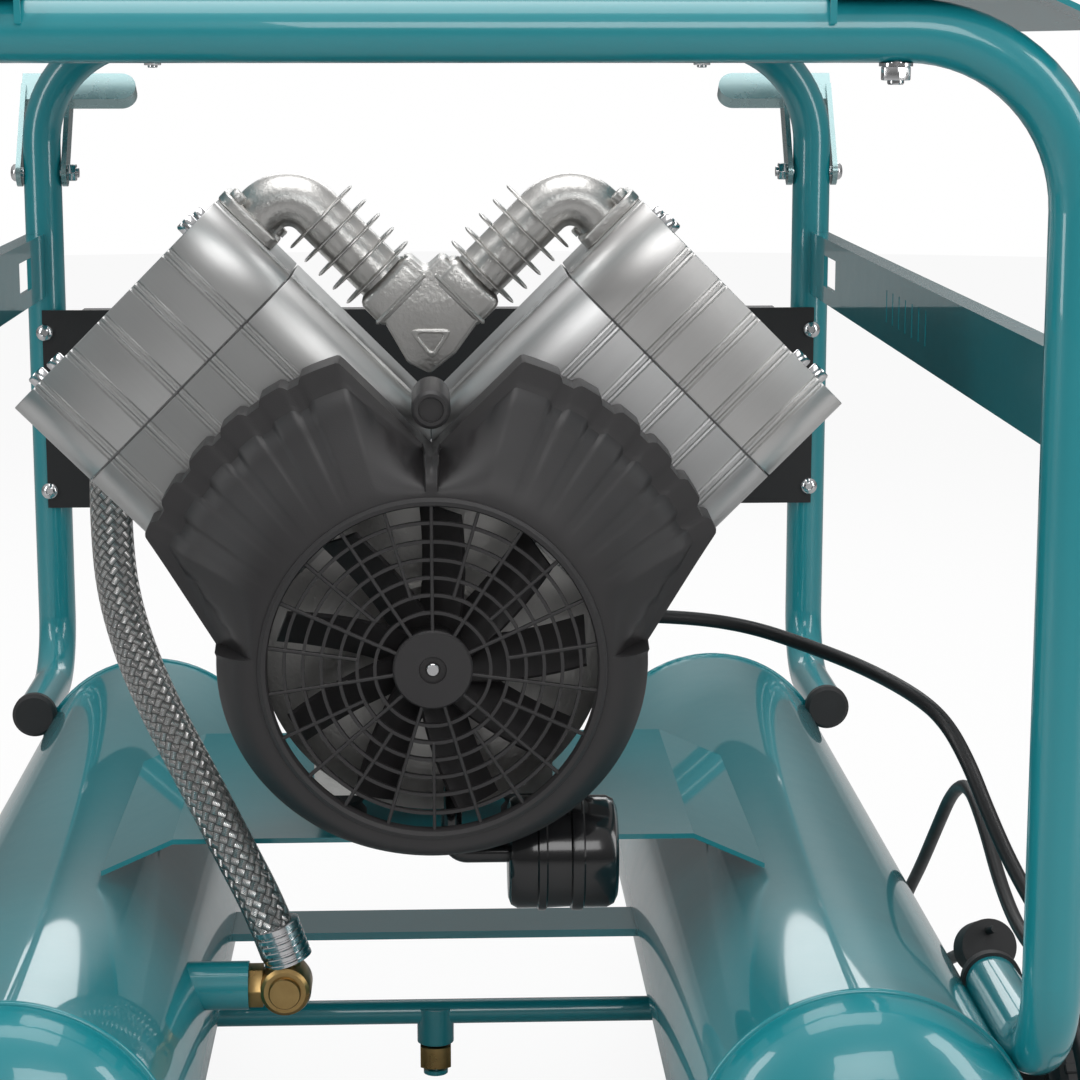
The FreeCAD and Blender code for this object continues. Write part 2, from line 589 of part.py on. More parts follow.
def crankcase():
    """Round case with two flats for the cylinders, bearing bosses and a pedestal."""
    body = rod("case_radius", "case_depth", 0, "case_front_y", "crank_z", "y")
    bosses = [rod("boss_radius", "boss_out + 1", 0, "case_front_y - boss_out", "crank_z", "y"),
              rod("boss_radius", "boss_out + 1", 0, "case_rear_y - 1", "crank_z", "y")]
    pedestal = box("-pedestal_half_x", "front_hoop_y + mount_front_run - pedestal_half_y", "mount_top_z",
                   "2 * pedestal_half_x", "2 * pedestal_half_y", "crank_z - mount_top_z - case_cavity + 10")
    flats, bores = [], []
    for lean in (45, -45):
        flat = centred_box(0, 0, "block_base + case_radius / 2", "4 * case_radius", "4 * case_depth",
                           "case_radius")
        flats.append(place(group(flat), 0, "pump_y", "crank_z", angle_about((0, 1, 0), lean)))
        bore = rod("bore_radius + 1", "case_radius", 0, 0, 0)
        bores.append(place(fuse(bore, rod("bore_radius", "block_base", 0, 0, 0)), 0, "pump_y", "crank_z",
                           angle_about((0, 1, 0), lean)))
    cavity = rod("case_cavity", "case_depth - 2 * case_wall", 0, "case_front_y + case_wall", "crank_z", "y")
    seats = rod("bearing_radius", "case_depth + 2 * boss_out + 2", 0, "case_front_y - boss_out - 1", "crank_z", "y")
    return cut(fuse(body, *bosses, pedestal), *flats, *bores, cavity, seats)


def bearing(start, hole="shaft_radius"):
    return cut(rod("bearing_radius", "bearing_wide", 0, start, "crank_z", "y"),
               rod(f"{hole} + running_play", "3 * bearing_wide", 0, f"{start} - bearing_wide", "crank_z", "y"))


def crankshaft():
    """Main journals, two round webs with the crank pin between them, and the long motor shaft."""
    nose = rod("nose_radius", "case_front_y - boss_out - (shroud_y + fan_front)", 0, "shroud_y + fan_front",
               "crank_z", "y")
    front = rod("shaft_radius", "pump_y - web_gap / 2 - (case_front_y - boss_out)", 0, "case_front_y - boss_out",
                "crank_z", "y")
    webs = [rod("web_radius", "web_thick", 0, f"pump_y - web_gap / 2 - web_thick", "crank_z", "y"),
            rod("web_radius", "web_thick", 0, f"pump_y + web_gap / 2", "crank_z", "y")]
    pin = rod("pin_radius", "web_gap + 2 * web_thick", 0, "pump_y - web_gap / 2 - web_thick",
              "crank_z + throw", "y")
    rear = rod("shaft_radius", "cover_y + cover_thick - 4 - (pump_y + web_gap / 2)", 0, "pump_y + web_gap / 2",
               "crank_z", "y")
    return fuse(nose, front, *webs, pin, rear)


def motor_housing():
    """Finned barrel on its own foot, open towards the crankcase."""
    barrel = rod("motor_radius", "motor_length", 0, "motor_y", "crank_z", "y")
    foot = box("-pedestal_half_x", "front_hoop_y + mount_rear_run - pedestal_half_y", "mount_top_z",
               "2 * pedestal_half_x", "2 * pedestal_half_y", "crank_z - mount_top_z - motor_radius * 0.6")
    adapter = rod("motor_radius", "motor_start", 0, "case_rear_y", "crank_z", "y")
    collar = rod("boss_radius + 1", "motor_start + 2", 0, "case_rear_y - 1", "crank_z", "y")
    inside = rod("motor_radius - motor_wall", "motor_length + 1", 0, "motor_y", "crank_z", "y")
    return cut(fuse(barrel, foot, adapter), inside, collar)


def motor_cover():
    plate = rod("motor_radius", "cover_thick", 0, "cover_y", "crank_z", "y")
    seat = rod("bearing_radius", "bearing_wide", 0, "cover_y", "crank_z", "y")
    spigot = cut(rod("boss_radius", "8", 0, "cover_y - 8", "crank_z", "y"),
                 rod("bearing_radius", "10", 0, "cover_y - 9", "crank_z", "y"))
    return cut(fuse(plate, spigot), seat)


def stator():
    start = "motor_y + (motor_length - stator_length) / 2"
    return cut(rod("motor_radius - motor_wall", "stator_length", 0, start, "crank_z", "y"),
               rod("stator_radius", "stator_length + 2", 0, f"{start} - 1", "crank_z", "y"))


def rotor():
    start = "motor_y + (motor_length - stator_length) / 2"
    return cut(rod("stator_radius - rotor_play", "stator_length", 0, start, "crank_z", "y"),
               rod("shaft_radius", "stator_length + 2", 0, f"{start} - 1", "crank_z", "y"))


def pump_mounts():
    mounts = []
    for run in ("mount_front_run", "mount_rear_run"):
        for side in (1, -1):
            profile = [(0, 0), ("mount_radius", 0), ("mount_radius", "mount_tall * 0.3"),
                       ("mount_radius - 3", "mount_tall * 0.5"), ("mount_radius", "mount_tall * 0.7"),
                       ("mount_radius", "mount_tall"), (0, "mount_tall")]
            mounts.append(turned(profile, f"{side} * mount_half", f"front_hoop_y + {run}",
                                 "deck_z + plate_sheet"))
    return group(*mounts)


piece("crankcase", crankcase())
piece("bearings", group(bearing("case_front_y - boss_out"), bearing("case_rear_y + boss_out - bearing_wide"),
                        bearing("cover_y")))
piece("crankshaft", crankshaft())
piece("motor_housing", motor_housing())
piece("motor_cover", motor_cover())
piece("stator", stator())
piece("rotor", rotor())
piece("pump_mounts", pump_mounts())


# ---- cylinders, heads and pistons -------------------------------------------------------------

# double-ridge grooves, measured across the bank from its axis
GROOVES = (59, 33, 10, -17, -41)
HEAD_SCREWS = [(f"{across} * (block_half - screw_inset) - block_shift", f"{end} * (block_depth / 2 - screw_inset)")
               for across in (-1, 1) for end in (-1, 1)]


def ribbed_block(low, high):
    """Extruded block whose front and rear faces are grooved along the bank."""
    body = centred_box("-block_shift", 0, f"(({low}) + ({high})) / 2", "2 * block_half", "block_depth",
                       f"({high}) - ({low})")
    grooves = []
    for across in GROOVES:
        for end in (1, -1):
            grooves.append(centred_box(f"-({across})", f"{end} * block_depth / 2", f"(({low}) + ({high})) / 2",
                                       "groove_wide", "2 * groove_deep", f"2 * (({high}) - ({low}))"))
    return body, grooves


def cylinder():
    body, grooves = ribbed_block("block_base", "block_deck")
    bore = rod("bore_radius", "block_deck * 2", 0, 0, 0)
    other_bank = box("-head_top", "pump_y - block_depth", "crank_z", "head_top + block_gap / 2", "2 * block_depth",
                     "head_top")
    return cut(on_bank(cut(body, *grooves, bore)), other_bank)


def head():
    body, grooves = ribbed_block("block_deck + valve_plate_thick", "head_top")
    chamber = rod("bore_radius - 5", "head_top - block_deck - valve_plate_thick - 12", 0, 0,
                  "block_deck + valve_plate_thick")
    port = rod("pipe_radius - pipe_wall", "block_half", "inner_face - 1", 0, "port_radial", "x")
    screw_holes = [rod("screw_radius + bolt_play", "screw_long + 1", x, y, "head_top - screw_long - 0.5")
                   for x, y in HEAD_SCREWS]
    return on_bank(cut(body, *grooves, chamber, port, *screw_holes))


def valve_plate():
    plate = centred_box("-block_shift", 0, "block_deck + valve_plate_thick / 2", "2 * block_half - 8",
                        "block_depth - 16", "valve_plate_thick")
    ports = [rod(5, "4 * valve_plate_thick", f"{side} * 18", 0, "block_deck - valve_plate_thick")
             for side in (1, -1)]
    return on_bank(cut(plate, *ports))


def piston(shift, top):
    """Cup piston and connecting rod in one, its long eye clear of the circling crank pin."""
    crown = rod("bore_radius - running_play", "piston_tall", 0, 0, f"{top} - piston_tall")
    eye_tall = "throw + eye_half"
    stem = box("-rod_half", f"{shift} - rod_thick / 2", f"{eye_tall}", "2 * rod_half", "rod_thick",
               f"{top} - piston_tall - ({eye_tall})")
    def oval(half):
        ends = [rod(half, "rod_thick", 0, f"{shift} - rod_thick / 2", f"{side} * throw", "y") for side in (1, -1)]
        return fuse(*ends, centred_box(0, shift, 0, f"2 * ({half})", "rod_thick", "2 * throw"))
    return on_bank(cut(fuse(crown, stem, oval("eye_half + eye_wall")), oval("eye_half")))


piece("cylinder_right", cylinder())
piece("cylinder_left", mirrored(pieces["cylinder_right"]))
piece("head_right", head())
piece("head_left", mirrored(pieces["head_right"]))
plate_right = valve_plate()
piece("valve_plates", group(plate_right, mirrored(plate_right)))
piece("piston_right", piston("rod_offset", "stroke_mid"))
piece("piston_left", mirrored(piston("-rod_offset", "stroke_mid")))


def pump_screws():
    """Head screws on both banks and the cap nut in the middle of the guard."""
    profile = [(0, 0), ("screw_radius", 0), ("screw_radius", "screw_long"), ("screw_head", "screw_long"),
               ("screw_head", "screw_long + screw_head"), (0, "screw_long + screw_head")]
    screws = [on_bank(group(turned(profile, x, y, "head_top - screw_long"))) for x, y in HEAD_SCREWS]
    holder = rod("cap_nut_radius", "screw_head", 0, "shroud_y - screw_head", "crank_z", "y")
    return group(*screws, *[mirrored(screw) for screw in screws], holder)


# ---- fan and shroud ---------------------------------------------------------------------------

def fan():
    start = "shroud_y + fan_front"
    hub = rod("fan_hub", "fan_deep", 0, start, "crank_z", "y")
    blades = []
    for step in range(SIZES["blade_count"]):
        blade = centred_box("(fan_radius + fan_hub) / 2 - 2", 0, 0, "fan_radius - fan_hub + 4", "fan_deep / 1.25",
                            "blade_thick")
        pitched = place(group(blade), turn=angle_about((1, 0, 0), SIZES["blade_pitch"]))
        blades.append(place(group(pitched), 0, f"{start} + fan_deep / 2", "crank_z",
                            angle_about((0, 1, 0), 360 * step / SIZES["blade_count"])))
    rim_space = rod("fan_radius", "2 * fan_deep", 0, f"{start} - fan_deep / 2", "crank_z", "y")
    return cut(common(fuse(hub, *blades), rim_space),
               rod("nose_radius", "3 * fan_deep", 0, f"{start} - fan_deep", "crank_z", "y"))


def shroud_body(inset, start, deep):
    """Round drum with an ear over the foot of each cylinder."""
    drum = rod(f"shroud_radius - {inset}", deep, 0, start, "crank_z", "y")
    ears = []
    for lean in (45, -45):
        toward_gap = "-" if lean > 0 else ""
        ear = centred_box(f"{toward_gap}ear_shift", 0, "ear_radius / 2", f"2 * (ear_half - {inset})",
                          f"2 * ({deep})", "ear_radius")
        ears.append(place(group(ear), 0, start, "crank_z", angle_about((0, 1, 0), lean)))
    reach = rod(f"ear_radius - {inset}", deep, 0, start, "crank_z", "y")
    return fuse(drum, common(fuse(*ears), reach))


def grille():
    """Round guard of thin rings and spokes around a plain hub."""
    bars = [rod("grille_hub", "grille_deep", 0, "shroud_y", "crank_z", "y")]
    for step in range(SIZES["ring_count"]):
        outer = f"grille_hub + {step + 1} * (grille_radius - grille_hub) / (ring_count + 1)"
        bars.append(cut(rod(outer, "grille_deep", 0, "shroud_y", "crank_z", "y"),
                        rod(f"{outer} - grille_bar", "grille_deep * 3", 0, "shroud_y - grille_deep", "crank_z", "y")))
    for step in range(SIZES["spoke_count"]):
        spoke = box("grille_hub - 2", 0, "-grille_bar / 2", "grille_radius - grille_hub + 4", "grille_deep",
                    "grille_bar")
        bars.append(place(group(spoke), 0, "shroud_y", "crank_z",
                          angle_about((0, 1, 0), 360 * step / SIZES["spoke_count"])))
    return bars


def fan_shroud():
    outer = shroud_body(0, "shroud_y", "shroud_deep")
    inner = shroud_body("shroud_wall", "shroud_y + grille_deep", "shroud_deep")
    opening = rod("grille_radius", "shroud_deep", 0, "shroud_y - 1", "crank_z", "y")
    clear = rod("boss_radius + 2", "shroud_deep", 0, "shroud_y + grille_deep", "crank_z", "y")
    nose_boss = rod("nose_boss_radius", "shroud_deep - nose_boss_inset", 0, "shroud_y + nose_boss_inset",
                    "crank_z + nose_boss_rise", "y")
    return fuse(cut(outer, inner, opening, clear), nose_boss, *grille())


piece("bolts", group(frame_bolts(), pump_screws()))
piece("fan", fan())
piece("fan_shroud", fan_shroud())


# ---- air path ---------------------------------------------------------------------------------

def manifold():
    """Cast elbow off the head's inner face and a finned leg down to the junction."""
    def line(radius, past):
        return [rod(radius, f"inner_face - bend_x + {past}", "bend_x", 0, "port_radial", "x"),
                arc_tube("elbow_radius", radius, "90", "bend_x", 0, "bend_z", (0, 0, 1), (-1, 0, 0)),
                rod(radius, f"bend_z - pipe_end + {past}", "pipe_x", 0, f"pipe_end - {past}")]
    flange = centred_box("inner_face - flange_thick / 2", 0, "head_top - flange_half - 1", "flange_thick",
                         "2 * flange_half", "2 * flange_half")
    fins = [rod("fin_radius", "fin_thick", "pipe_x", 0, f"fin_first + {step} * fin_pitch - fin_thick / 2")
            for step in range(SIZES["fin_count"])]
    return on_bank(cut(fuse(*line("pipe_radius", 0), flange, *fins), *line("pipe_radius - pipe_wall", 1)))


def manifold_junction():
    """Casting where both legs meet over the crankcase, with a foot that stands on it."""
    legs = []
    for lean in (45, -45):
        side = 1 if lean > 0 else -1
        leg = rod("junction_radius", "pipe_end + pipe_x + junction_radius / 2", f"{side} * pipe_x", 0,
                  "-pipe_x - junction_radius / 2")
        legs.append(place(group(leg), 0, "pump_y", "crank_z", angle_about((0, 1, 0), lean)))
    heel = rod("junction_radius", "2 * junction_radius", 0, "pump_y - junction_radius",
               "crank_z - pipe_x * 1.4142", "y")
    stand = rod("junction_stand", "crank_z - pipe_x * 1.4142 - saddle_z", 0, "pump_y", "saddle_z")
    banks = on_bank(group(centred_box("-block_shift", 0, "head_top / 2", "2 * block_half", "block_depth", "head_top")))
    return cut(fuse(*legs, heel, stand), banks, mirrored(banks))


def air_filter():
    """Drum on its side under the shroud, with a pipe up into the crankcase."""
    start = "filter_x - filter_long / 2"
    drum = turned([(0, 0), ("filter_radius - 3", 0), ("filter_radius", 3), ("filter_radius", "filter_long - 3"),
                   ("filter_radius - 3", "filter_long"), (0, "filter_long")],
                  start, "filter_y", "tank_height + filter_rise", "x")
    band = rod("filter_radius + 2", 10, "filter_x - 5", "filter_y", "tank_height + filter_rise", "x")
    neck = rod("filter_neck", f"{start} + 1 - filter_neck_x", "filter_neck_x", "filter_y",
               "tank_height + filter_rise - 6", "x")
    rise = rod("filter_neck", "crank_rise - filter_rise + 6 - case_cavity - 15", "filter_neck_x", "filter_y",
               "tank_height + filter_rise - 6")
    knee = place(bind(doc.addObject("Part::Sphere"), Radius="filter_neck"), "filter_neck_x", "filter_y",
                 "tank_height + filter_rise - 6")
    return fuse(drum, band, neck, rise, knee)


def check_valve():
    """Brass non-return valve: a body across the machine's length, a nut towards the tank, a top port."""
    body = turned([(0, 0), ("valve_radius - 3", 0), ("valve_radius", 3), ("valve_radius", "valve_long - 3"),
                   ("valve_radius - 3", "valve_long"), (0, "valve_long")],
                  "-valve_x", "valve_y - valve_long / 2", "valve_z", "y")
    nut = rod("valve_nut", "8", "-stub_x", "valve_y", "valve_z", "x", sides=6)
    nipple = rod("8", "stub_x - valve_x", "-stub_x", "valve_y", "valve_z", "x")
    port = rod("9", "22", "-valve_x", "valve_y", "valve_z")
    return fuse(body, nut, nipple, port)


def tank_link_pipe():
    """Balance pipe between the tanks with the drain body under its middle."""
    pipe = rod("link_radius", "tank_spacing", "-tank_x", "front_hoop_y + crossbar_run", "drain_z", "x")
    drop = rod("drain_body", "24", 0, "front_hoop_y + crossbar_run", "drain_z - 20")
    neck = rod("drain_neck", "24", 0, "front_hoop_y + crossbar_run", "drain_z - 42")
    end = rod("drain_neck + 3", "3", 0, "front_hoop_y + crossbar_run", "drain_z - 42")
    return cut(fuse(pipe, drop, neck, end), tank_space(), tank_space("-"))


def drain_tap():
    start = "drain_z - 21 - drain_knob_tall"
    knob = rod("drain_knob", "drain_knob_tall", 0, "front_hoop_y + crossbar_run", start)
    flats = [centred_box(f"{side} * drain_knob", "front_hoop_y + crossbar_run", f"{start} + drain_knob_tall / 2",
                         "8", "3 * drain_knob", "2 * drain_knob_tall") for side in (1, -1)]
    bore = rod("drain_neck + running_play", "2 * drain_knob_tall", 0, "front_hoop_y + crossbar_run",
               f"{start} - 5")
    return cut(knob, *flats, bore)


both_sides("manifold", manifold())
piece("manifold_junction", manifold_junction())
piece("air_filter", air_filter())
piece("check_valve", check_valve())
piece("tank_link_pipe", tank_link_pipe())
piece("drain_tap", drain_tap())


# ---- electrics and controls -------------------------------------------------------------------

def terminal_box():
    """Box on the motor's right flank, with the cord's gland on its outer face."""
    shell = box("box_x - 20", "box_y", "tank_height + box_rise", "box_long - 4", "box_deep", "box_tall")
    gland = turned([(0, 0), ("gland_radius + 2", 0), ("gland_radius + 2", "gland_long / 2"),
                    ("gland_radius - 3", "gland_long"), ("cord_radius", "gland_long"), (0, "gland_long")],
                   "box_x + box_long - 24", "box_y + 15", "tank_height + box_rise + box_tall / 2", "x")
    motor = rod("motor_radius", "motor_length * 3", 0, "motor_y - motor_length", "crank_z", "y")
    return cut(fuse(shell, gland), motor)


def pressure_switch():
    body = box("-switch_x - switch_half", "panel_y", "tank_height + regulator_rise - switch_tall / 2",
               "2 * switch_half", "switch_deep", "switch_tall")
    stem = rod("knob_stem", "knob_long * 0.7", "-switch_x", "panel_y + switch_deep",
               "tank_height + regulator_rise", "y")
    return fuse(body, stem)


def knob(radius, long, stem, reach, x, start, z):
    """Round knob with a pointer bar, bored to turn on a stem."""
    profile = [(f"{stem} + running_play", 0), (radius, 0), (radius, f"{long} * 0.8"),
               (f"{radius} * 0.85", long), (0, long), (0, f"{reach} + side_play"),
               (f"{stem} + running_play", f"{reach} + side_play")]
    bar = centred_box(x, f"{start} + {long} * 0.5 + 3", z, f"{radius} * 2.1", f"{long} * 0.75", 6)
    hollow = rod(f"{radius} - 2", f"{long} - 3", x, f"{start} - 1", z, "y")
    return fuse(turned(profile, x, start, z, "y"), cut(bar, hollow))


def regulator():
    body = rod("regulator_radius", "regulator_deep", "regulator_x", "panel_y", "tank_height + regulator_rise", "y")
    stem = rod("knob_stem", "regulator_knob_long * 0.7", "regulator_x", "panel_y + regulator_deep",
               "tank_height + regulator_rise", "y")
    return fuse(body, stem)


def gauge(x):
    z = "tank_height + gauge_rise"
    case = rod("gauge_radius", "gauge_deep", x, "panel_y", z, "y")
    recess = rod("gauge_radius - 3", "gauge_recess + 1", x, "panel_y + gauge_deep - gauge_recess", z, "y")
    pin = rod("needle_pin", "gauge_recess - 2", x, "panel_y + gauge_deep - gauge_recess", z, "y")
    return fuse(cut(case, recess), pin)


def needle(x):
    z = "tank_height + gauge_rise"
    start = "panel_y + gauge_deep - gauge_recess + 1.5"
    arm = box(f"{x} - needle_wide / 2", start, f"{z} - needle_long * 0.3", "needle_wide", "needle_thick",
              "needle_long * 1.3")
    disc = rod("needle_pin + 1.8", "needle_thick", x, start, z, "y")
    return cut(fuse(arm, disc), rod("needle_pin + running_play", 10, x, f"{start} - 5", z, "y"))


def outlet_couplings():
    """Two quick-release outlets below the regulator."""
    parts = []
    for x in ("coupling_first_x", "coupling_second_x"):
        profile = [(0, 0), ("coupling_radius", 0), ("coupling_radius", 10), ("coupling_radius - 3", 12),
                   ("coupling_radius - 3", 20), ("coupling_radius", 22), ("coupling_radius", "coupling_deep - 4"),
                   ("coupling_radius - 2", "coupling_deep"), ("5", "coupling_deep"), ("5", "coupling_deep - 18"),
                   (0, "coupling_deep - 18")]
        parts.append(turned(profile, x, "panel_y", "tank_height + coupling_low", "y"))
    return group(*parts)


def safety_valve():
    profile = [(0, 0), ("safety_radius", 0), ("safety_radius", "safety_deep - 4"),
               ("safety_radius - 3", "safety_deep"), ("2 + running_play", "safety_deep"),
               ("2 + running_play", "safety_deep - 14"), (0, "safety_deep - 14")]
    return turned(profile, "safety_x", "panel_y", "tank_height + regulator_rise", "y")


def safety_ring():
    """Pull pin with the split ring through its eye."""
    z = "tank_height + regulator_rise"
    pin = rod(2, 22, "safety_x", "panel_y + safety_deep - 12", z, "y")
    ring = bind(doc.addObject("Part::Torus"), Radius1="ring_radius", Radius2="ring_wire")
    place(ring, "safety_x", "panel_y + safety_deep + 8 + ring_radius", z)
    return fuse(pin, ring)


piece("terminal_box", terminal_box())
piece("pressure_switch", pressure_switch())
piece("switch_knob", knob("knob_radius", "knob_long", "knob_stem", "knob_long * 0.7", "-switch_x",
                          "panel_y + switch_deep + side_play", "tank_height + regulator_rise"))
piece("regulator", regulator())
piece("regulator_knob", knob("regulator_knob_radius", "regulator_knob_long", "knob_stem",
                             "regulator_knob_long * 0.7", "regulator_x",
                             "panel_y + regulator_deep + side_play", "tank_height + regulator_rise"))
piece("gauges", group(gauge("gauge_first_x"), gauge("gauge_second_x")))
piece("needle_tank", needle("gauge_first_x"))
piece("needle_outlet", needle("gauge_second_x"))
piece("outlet_couplings", outlet_couplings())
piece("safety_valve", safety_valve())
piece("safety_ring", safety_ring())


# ---- hose and cord ----------------------------------------------------------------------------

def rounded_tube(name, route, radius):
    """Tube along straight runs joined by the largest arcs that the runs allow."""
    spots = [Vector(*spot) for spot in route]
    edges, reached, bends = [], spots[0], []
    for before, corner, after in zip(spots, spots[1:], spots[2:]):
        arriving, leaving = corner - before, after - corner
        half_turn = arriving.getAngle(leaving) / 2
        tangent = 0.45 * min(arriving.Length, leaving.Length)
        bend = tangent / math.tan(half_turn)
        bends.append(bend)
        start = corner - arriving.normalize() * tangent
        end = corner + leaving.normalize() * tangent
        inward = (leaving - arriving).normalize()
        middle = corner + inward * (bend / math.cos(half_turn) - bend)
        edges.append(Part.LineSegment(reached, start).toShape())
        edges.append(Part.Arc(start, middle, end).toShape())
        reached = end
    edges.append(Part.LineSegment(reached, spots[-1]).toShape())
    path = Part.Wire(edges)
    first = edges[0].tangentAt(edges[0].FirstParameter)
    section = Part.Wire(Part.Circle(spots[0], first, radius).toShape())
    solid = path.makePipeShell([section], True, True)
    ideal = math.pi * radius ** 2 * path.Length
    print(f"{name}: length {path.Length:.0f}, smallest bend {min(bends):.0f} "
          f"({min(bends) / radius / 2:.1f} diameters), volume ratio {solid.Volume / ideal:.4f}")
    print("   bends", " ".join(f"{bend:.0f}" for bend in bends))
    return solid


tank_axis = number("tank_height")
shift_y = number("front_hoop_y")

# points as (x, behind the front hoop, over the tank axes)
HOSE_ROUTE = [(-191, 322, 349), (-192, 322, 318), (-192, 317, 282), (-188, 303, 246), (-176, 282, 212),
              (-157, 255, 179), (-134, 228, 145), (-114, 212, 110), (-97, 205, 78), (-88, 205, 52)]
CORD_ROUTE = [(128, 315, 224), (156, 315, 223), (192, 306, 219), (222, 276, 214), (250, 233, 210),
              (270, 178, 207), (282, 150, 199), (292, 134, 180), (301, 126, 156), (313, 118, 128),
              (326, 105, 104), (340, 84, 80), (351, 58, 50), (358, 34, 12), (359, 20, -30), (359, 18, -58),
              (359, 20, -90), (359, 44, -114), (359, 78, -114), (359, 102, -90), (359, 103, -56),
              (358, 101, -18), (355, 102, 16), (348, 116, 44), (341, 148, 60), (336, 190, 64), (335, 238, 76),
              (335, 288, 98), (335, 338, 110), (335, 386, 92), (335, 436, 52), (335, 490, 8), (335, 540, -28),
              (336, 582, -64), (338, 612, -98), (340, 614, -134), (342, 590, -158), (344, 556, -158),
              (345, 528, -136), (345, 500, -88), (345, 456, -50), (345, 410, -28), (345, 356, -6)]


def in_frame(route):
    return [(x, y + shift_y, z + tank_axis) for x, y, z in route]


def hose_fittings():
    """Elbow that screws into the left head, and the two sleeves crimped on the hose's ends."""
    x, run, rise = HOSE_ROUTE[0]
    y, top = f"front_hoop_y + {run}", f"tank_height + {rise}"
    knee_z = f"{top} + 22"
    head_rear = "pump_y + block_depth / 2"
    elbow = fuse(rod("elbow_fitting", f"{y} - ({head_rear})", x, head_rear, knee_z, "y"),
                 place(bind(doc.addObject("Part::Sphere"), Radius="elbow_fitting"), x, y, knee_z),
                 rod("elbow_fitting", "22", x, y, top),
                 rod("ferrule_radius", "ferrule_long", x, y, f"{top} - ferrule_long + 2"))
    upper = cut(elbow, rod("hose_radius", "ferrule_long", x, y, f"{top} - ferrule_long"))
    low, end = Vector(*HOSE_ROUTE[-2]), Vector(*HOSE_ROUTE[-1])
    sleeve = cut(rod("ferrule_radius", "ferrule_long", 0, 0, 0), rod("hose_radius", "2 * ferrule_long", 0, 0, -1))
    place(sleeve, end.x, f"front_hoop_y + {end.y}", f"tank_height + {end.z} + 6", Rotation(Vector(0, 0, 1), low - end))
    return group(upper, sleeve)


def plug():
    """Moulded plug with a ribbed grip where the cord goes in and two round pins."""
    outline = [(0, -1), ("cord_radius + 1.5", -1), ("cord_radius + 3", "plug_grip"), ("plug_radius - 3", "plug_grip"),
               ("plug_radius", "plug_grip + 4"), ("plug_radius", "plug_grip + plug_long"),
               (0, "plug_grip + plug_long")]
    pins = [rod("plug_pin_radius", "plug_tip - 6", 0, f"{side} * plug_pin_apart", "plug_grip + plug_long - 1")
            for side in (1, -1)]
    before, end = Vector(*CORD_ROUTE[-2]), Vector(*CORD_ROUTE[-1])
    return place(fuse(turned(outline, 0, 0, 0), *pins), end.x, f"front_hoop_y + {end.y}",
                 f"tank_height + {end.z}", Rotation(Vector(0, 0, 1), end - before))


for name, route, radius in (("braided_hose", HOSE_ROUTE, "hose_radius"), ("power_cord", CORD_ROUTE, "cord_radius")):
    tube = doc.addObject("Part::Feature")
    tube.Shape = rounded_tube(name, in_frame(route), number(radius))
    piece(name, tube)
piece("hose_fittings", hose_fittings())
piece("plug", plug())


# ---- checks and files -------------------------------------------------------------------------

doc.recompute()
for item in doc.Objects:
    if "Invalid" in item.State or "Error" in item.State:
        raise RuntimeError(f"{item.Label} failed: {item.State}")
for name, item in pieces.items():
    if item.Shape.isNull() or not item.Shape.isValid() or not item.Shape.Solids:
        raise RuntimeError(f"{name} has no good solid")

os.makedirs("parts", exist_ok=True)
for name, item in pieces.items():
    item.Shape.exportStep(f"parts/{name}.step")
print(len(pieces), "pieces written")
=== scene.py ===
import math

import bpy
from mathutils import Matrix, Vector


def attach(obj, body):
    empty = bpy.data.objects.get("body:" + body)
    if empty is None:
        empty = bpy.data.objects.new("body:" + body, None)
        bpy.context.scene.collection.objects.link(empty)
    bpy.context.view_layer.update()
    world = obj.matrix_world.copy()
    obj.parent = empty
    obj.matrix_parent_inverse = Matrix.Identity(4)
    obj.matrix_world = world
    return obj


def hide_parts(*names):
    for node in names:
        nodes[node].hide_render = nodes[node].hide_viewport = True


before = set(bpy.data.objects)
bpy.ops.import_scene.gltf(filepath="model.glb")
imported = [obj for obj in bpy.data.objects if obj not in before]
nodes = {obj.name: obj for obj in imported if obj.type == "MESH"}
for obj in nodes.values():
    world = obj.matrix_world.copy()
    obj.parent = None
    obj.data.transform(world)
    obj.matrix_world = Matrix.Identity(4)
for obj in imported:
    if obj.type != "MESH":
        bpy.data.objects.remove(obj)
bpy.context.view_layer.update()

scene = bpy.context.scene
print("frame loaded:", len(nodes), "nodes")


# the machine's own lengths in metres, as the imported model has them
machine = {"tankZ": 0.175, "frontY": -0.4735, "pumpY": -0.2315, "crankZ": 0.412}


def tankPoint(x, run, rise):
    return Vector((x / 1000, run / 1000 + machine["frontY"], rise / 1000 + machine["tankZ"]))


# shader expressions

class Wire:
    def __init__(self, finish, socket):
        self.finish = finish
        self.socket = socket

    def sum(self, how, other=None, third=None):
        values = {0: self}
        if other is not None:
            values[1] = other
        if third is not None:
            values[2] = third
        return self.finish.add("ShaderNodeMath", {"operation": how}, values)

    def __add__(self, other):
        return self.sum("ADD", other)

    __radd__ = __add__

    def __sub__(self, other):
        return self.sum("SUBTRACT", other)

    def __rsub__(self, other):
        return (self * -1) + other

    def __mul__(self, other):
        return self.sum("MULTIPLY", other)

    __rmul__ = __mul__

    def __pow__(self, other):
        return self.sum("POWER", other)

    def __gt__(self, other):
        return self.sum("GREATER_THAN", other)


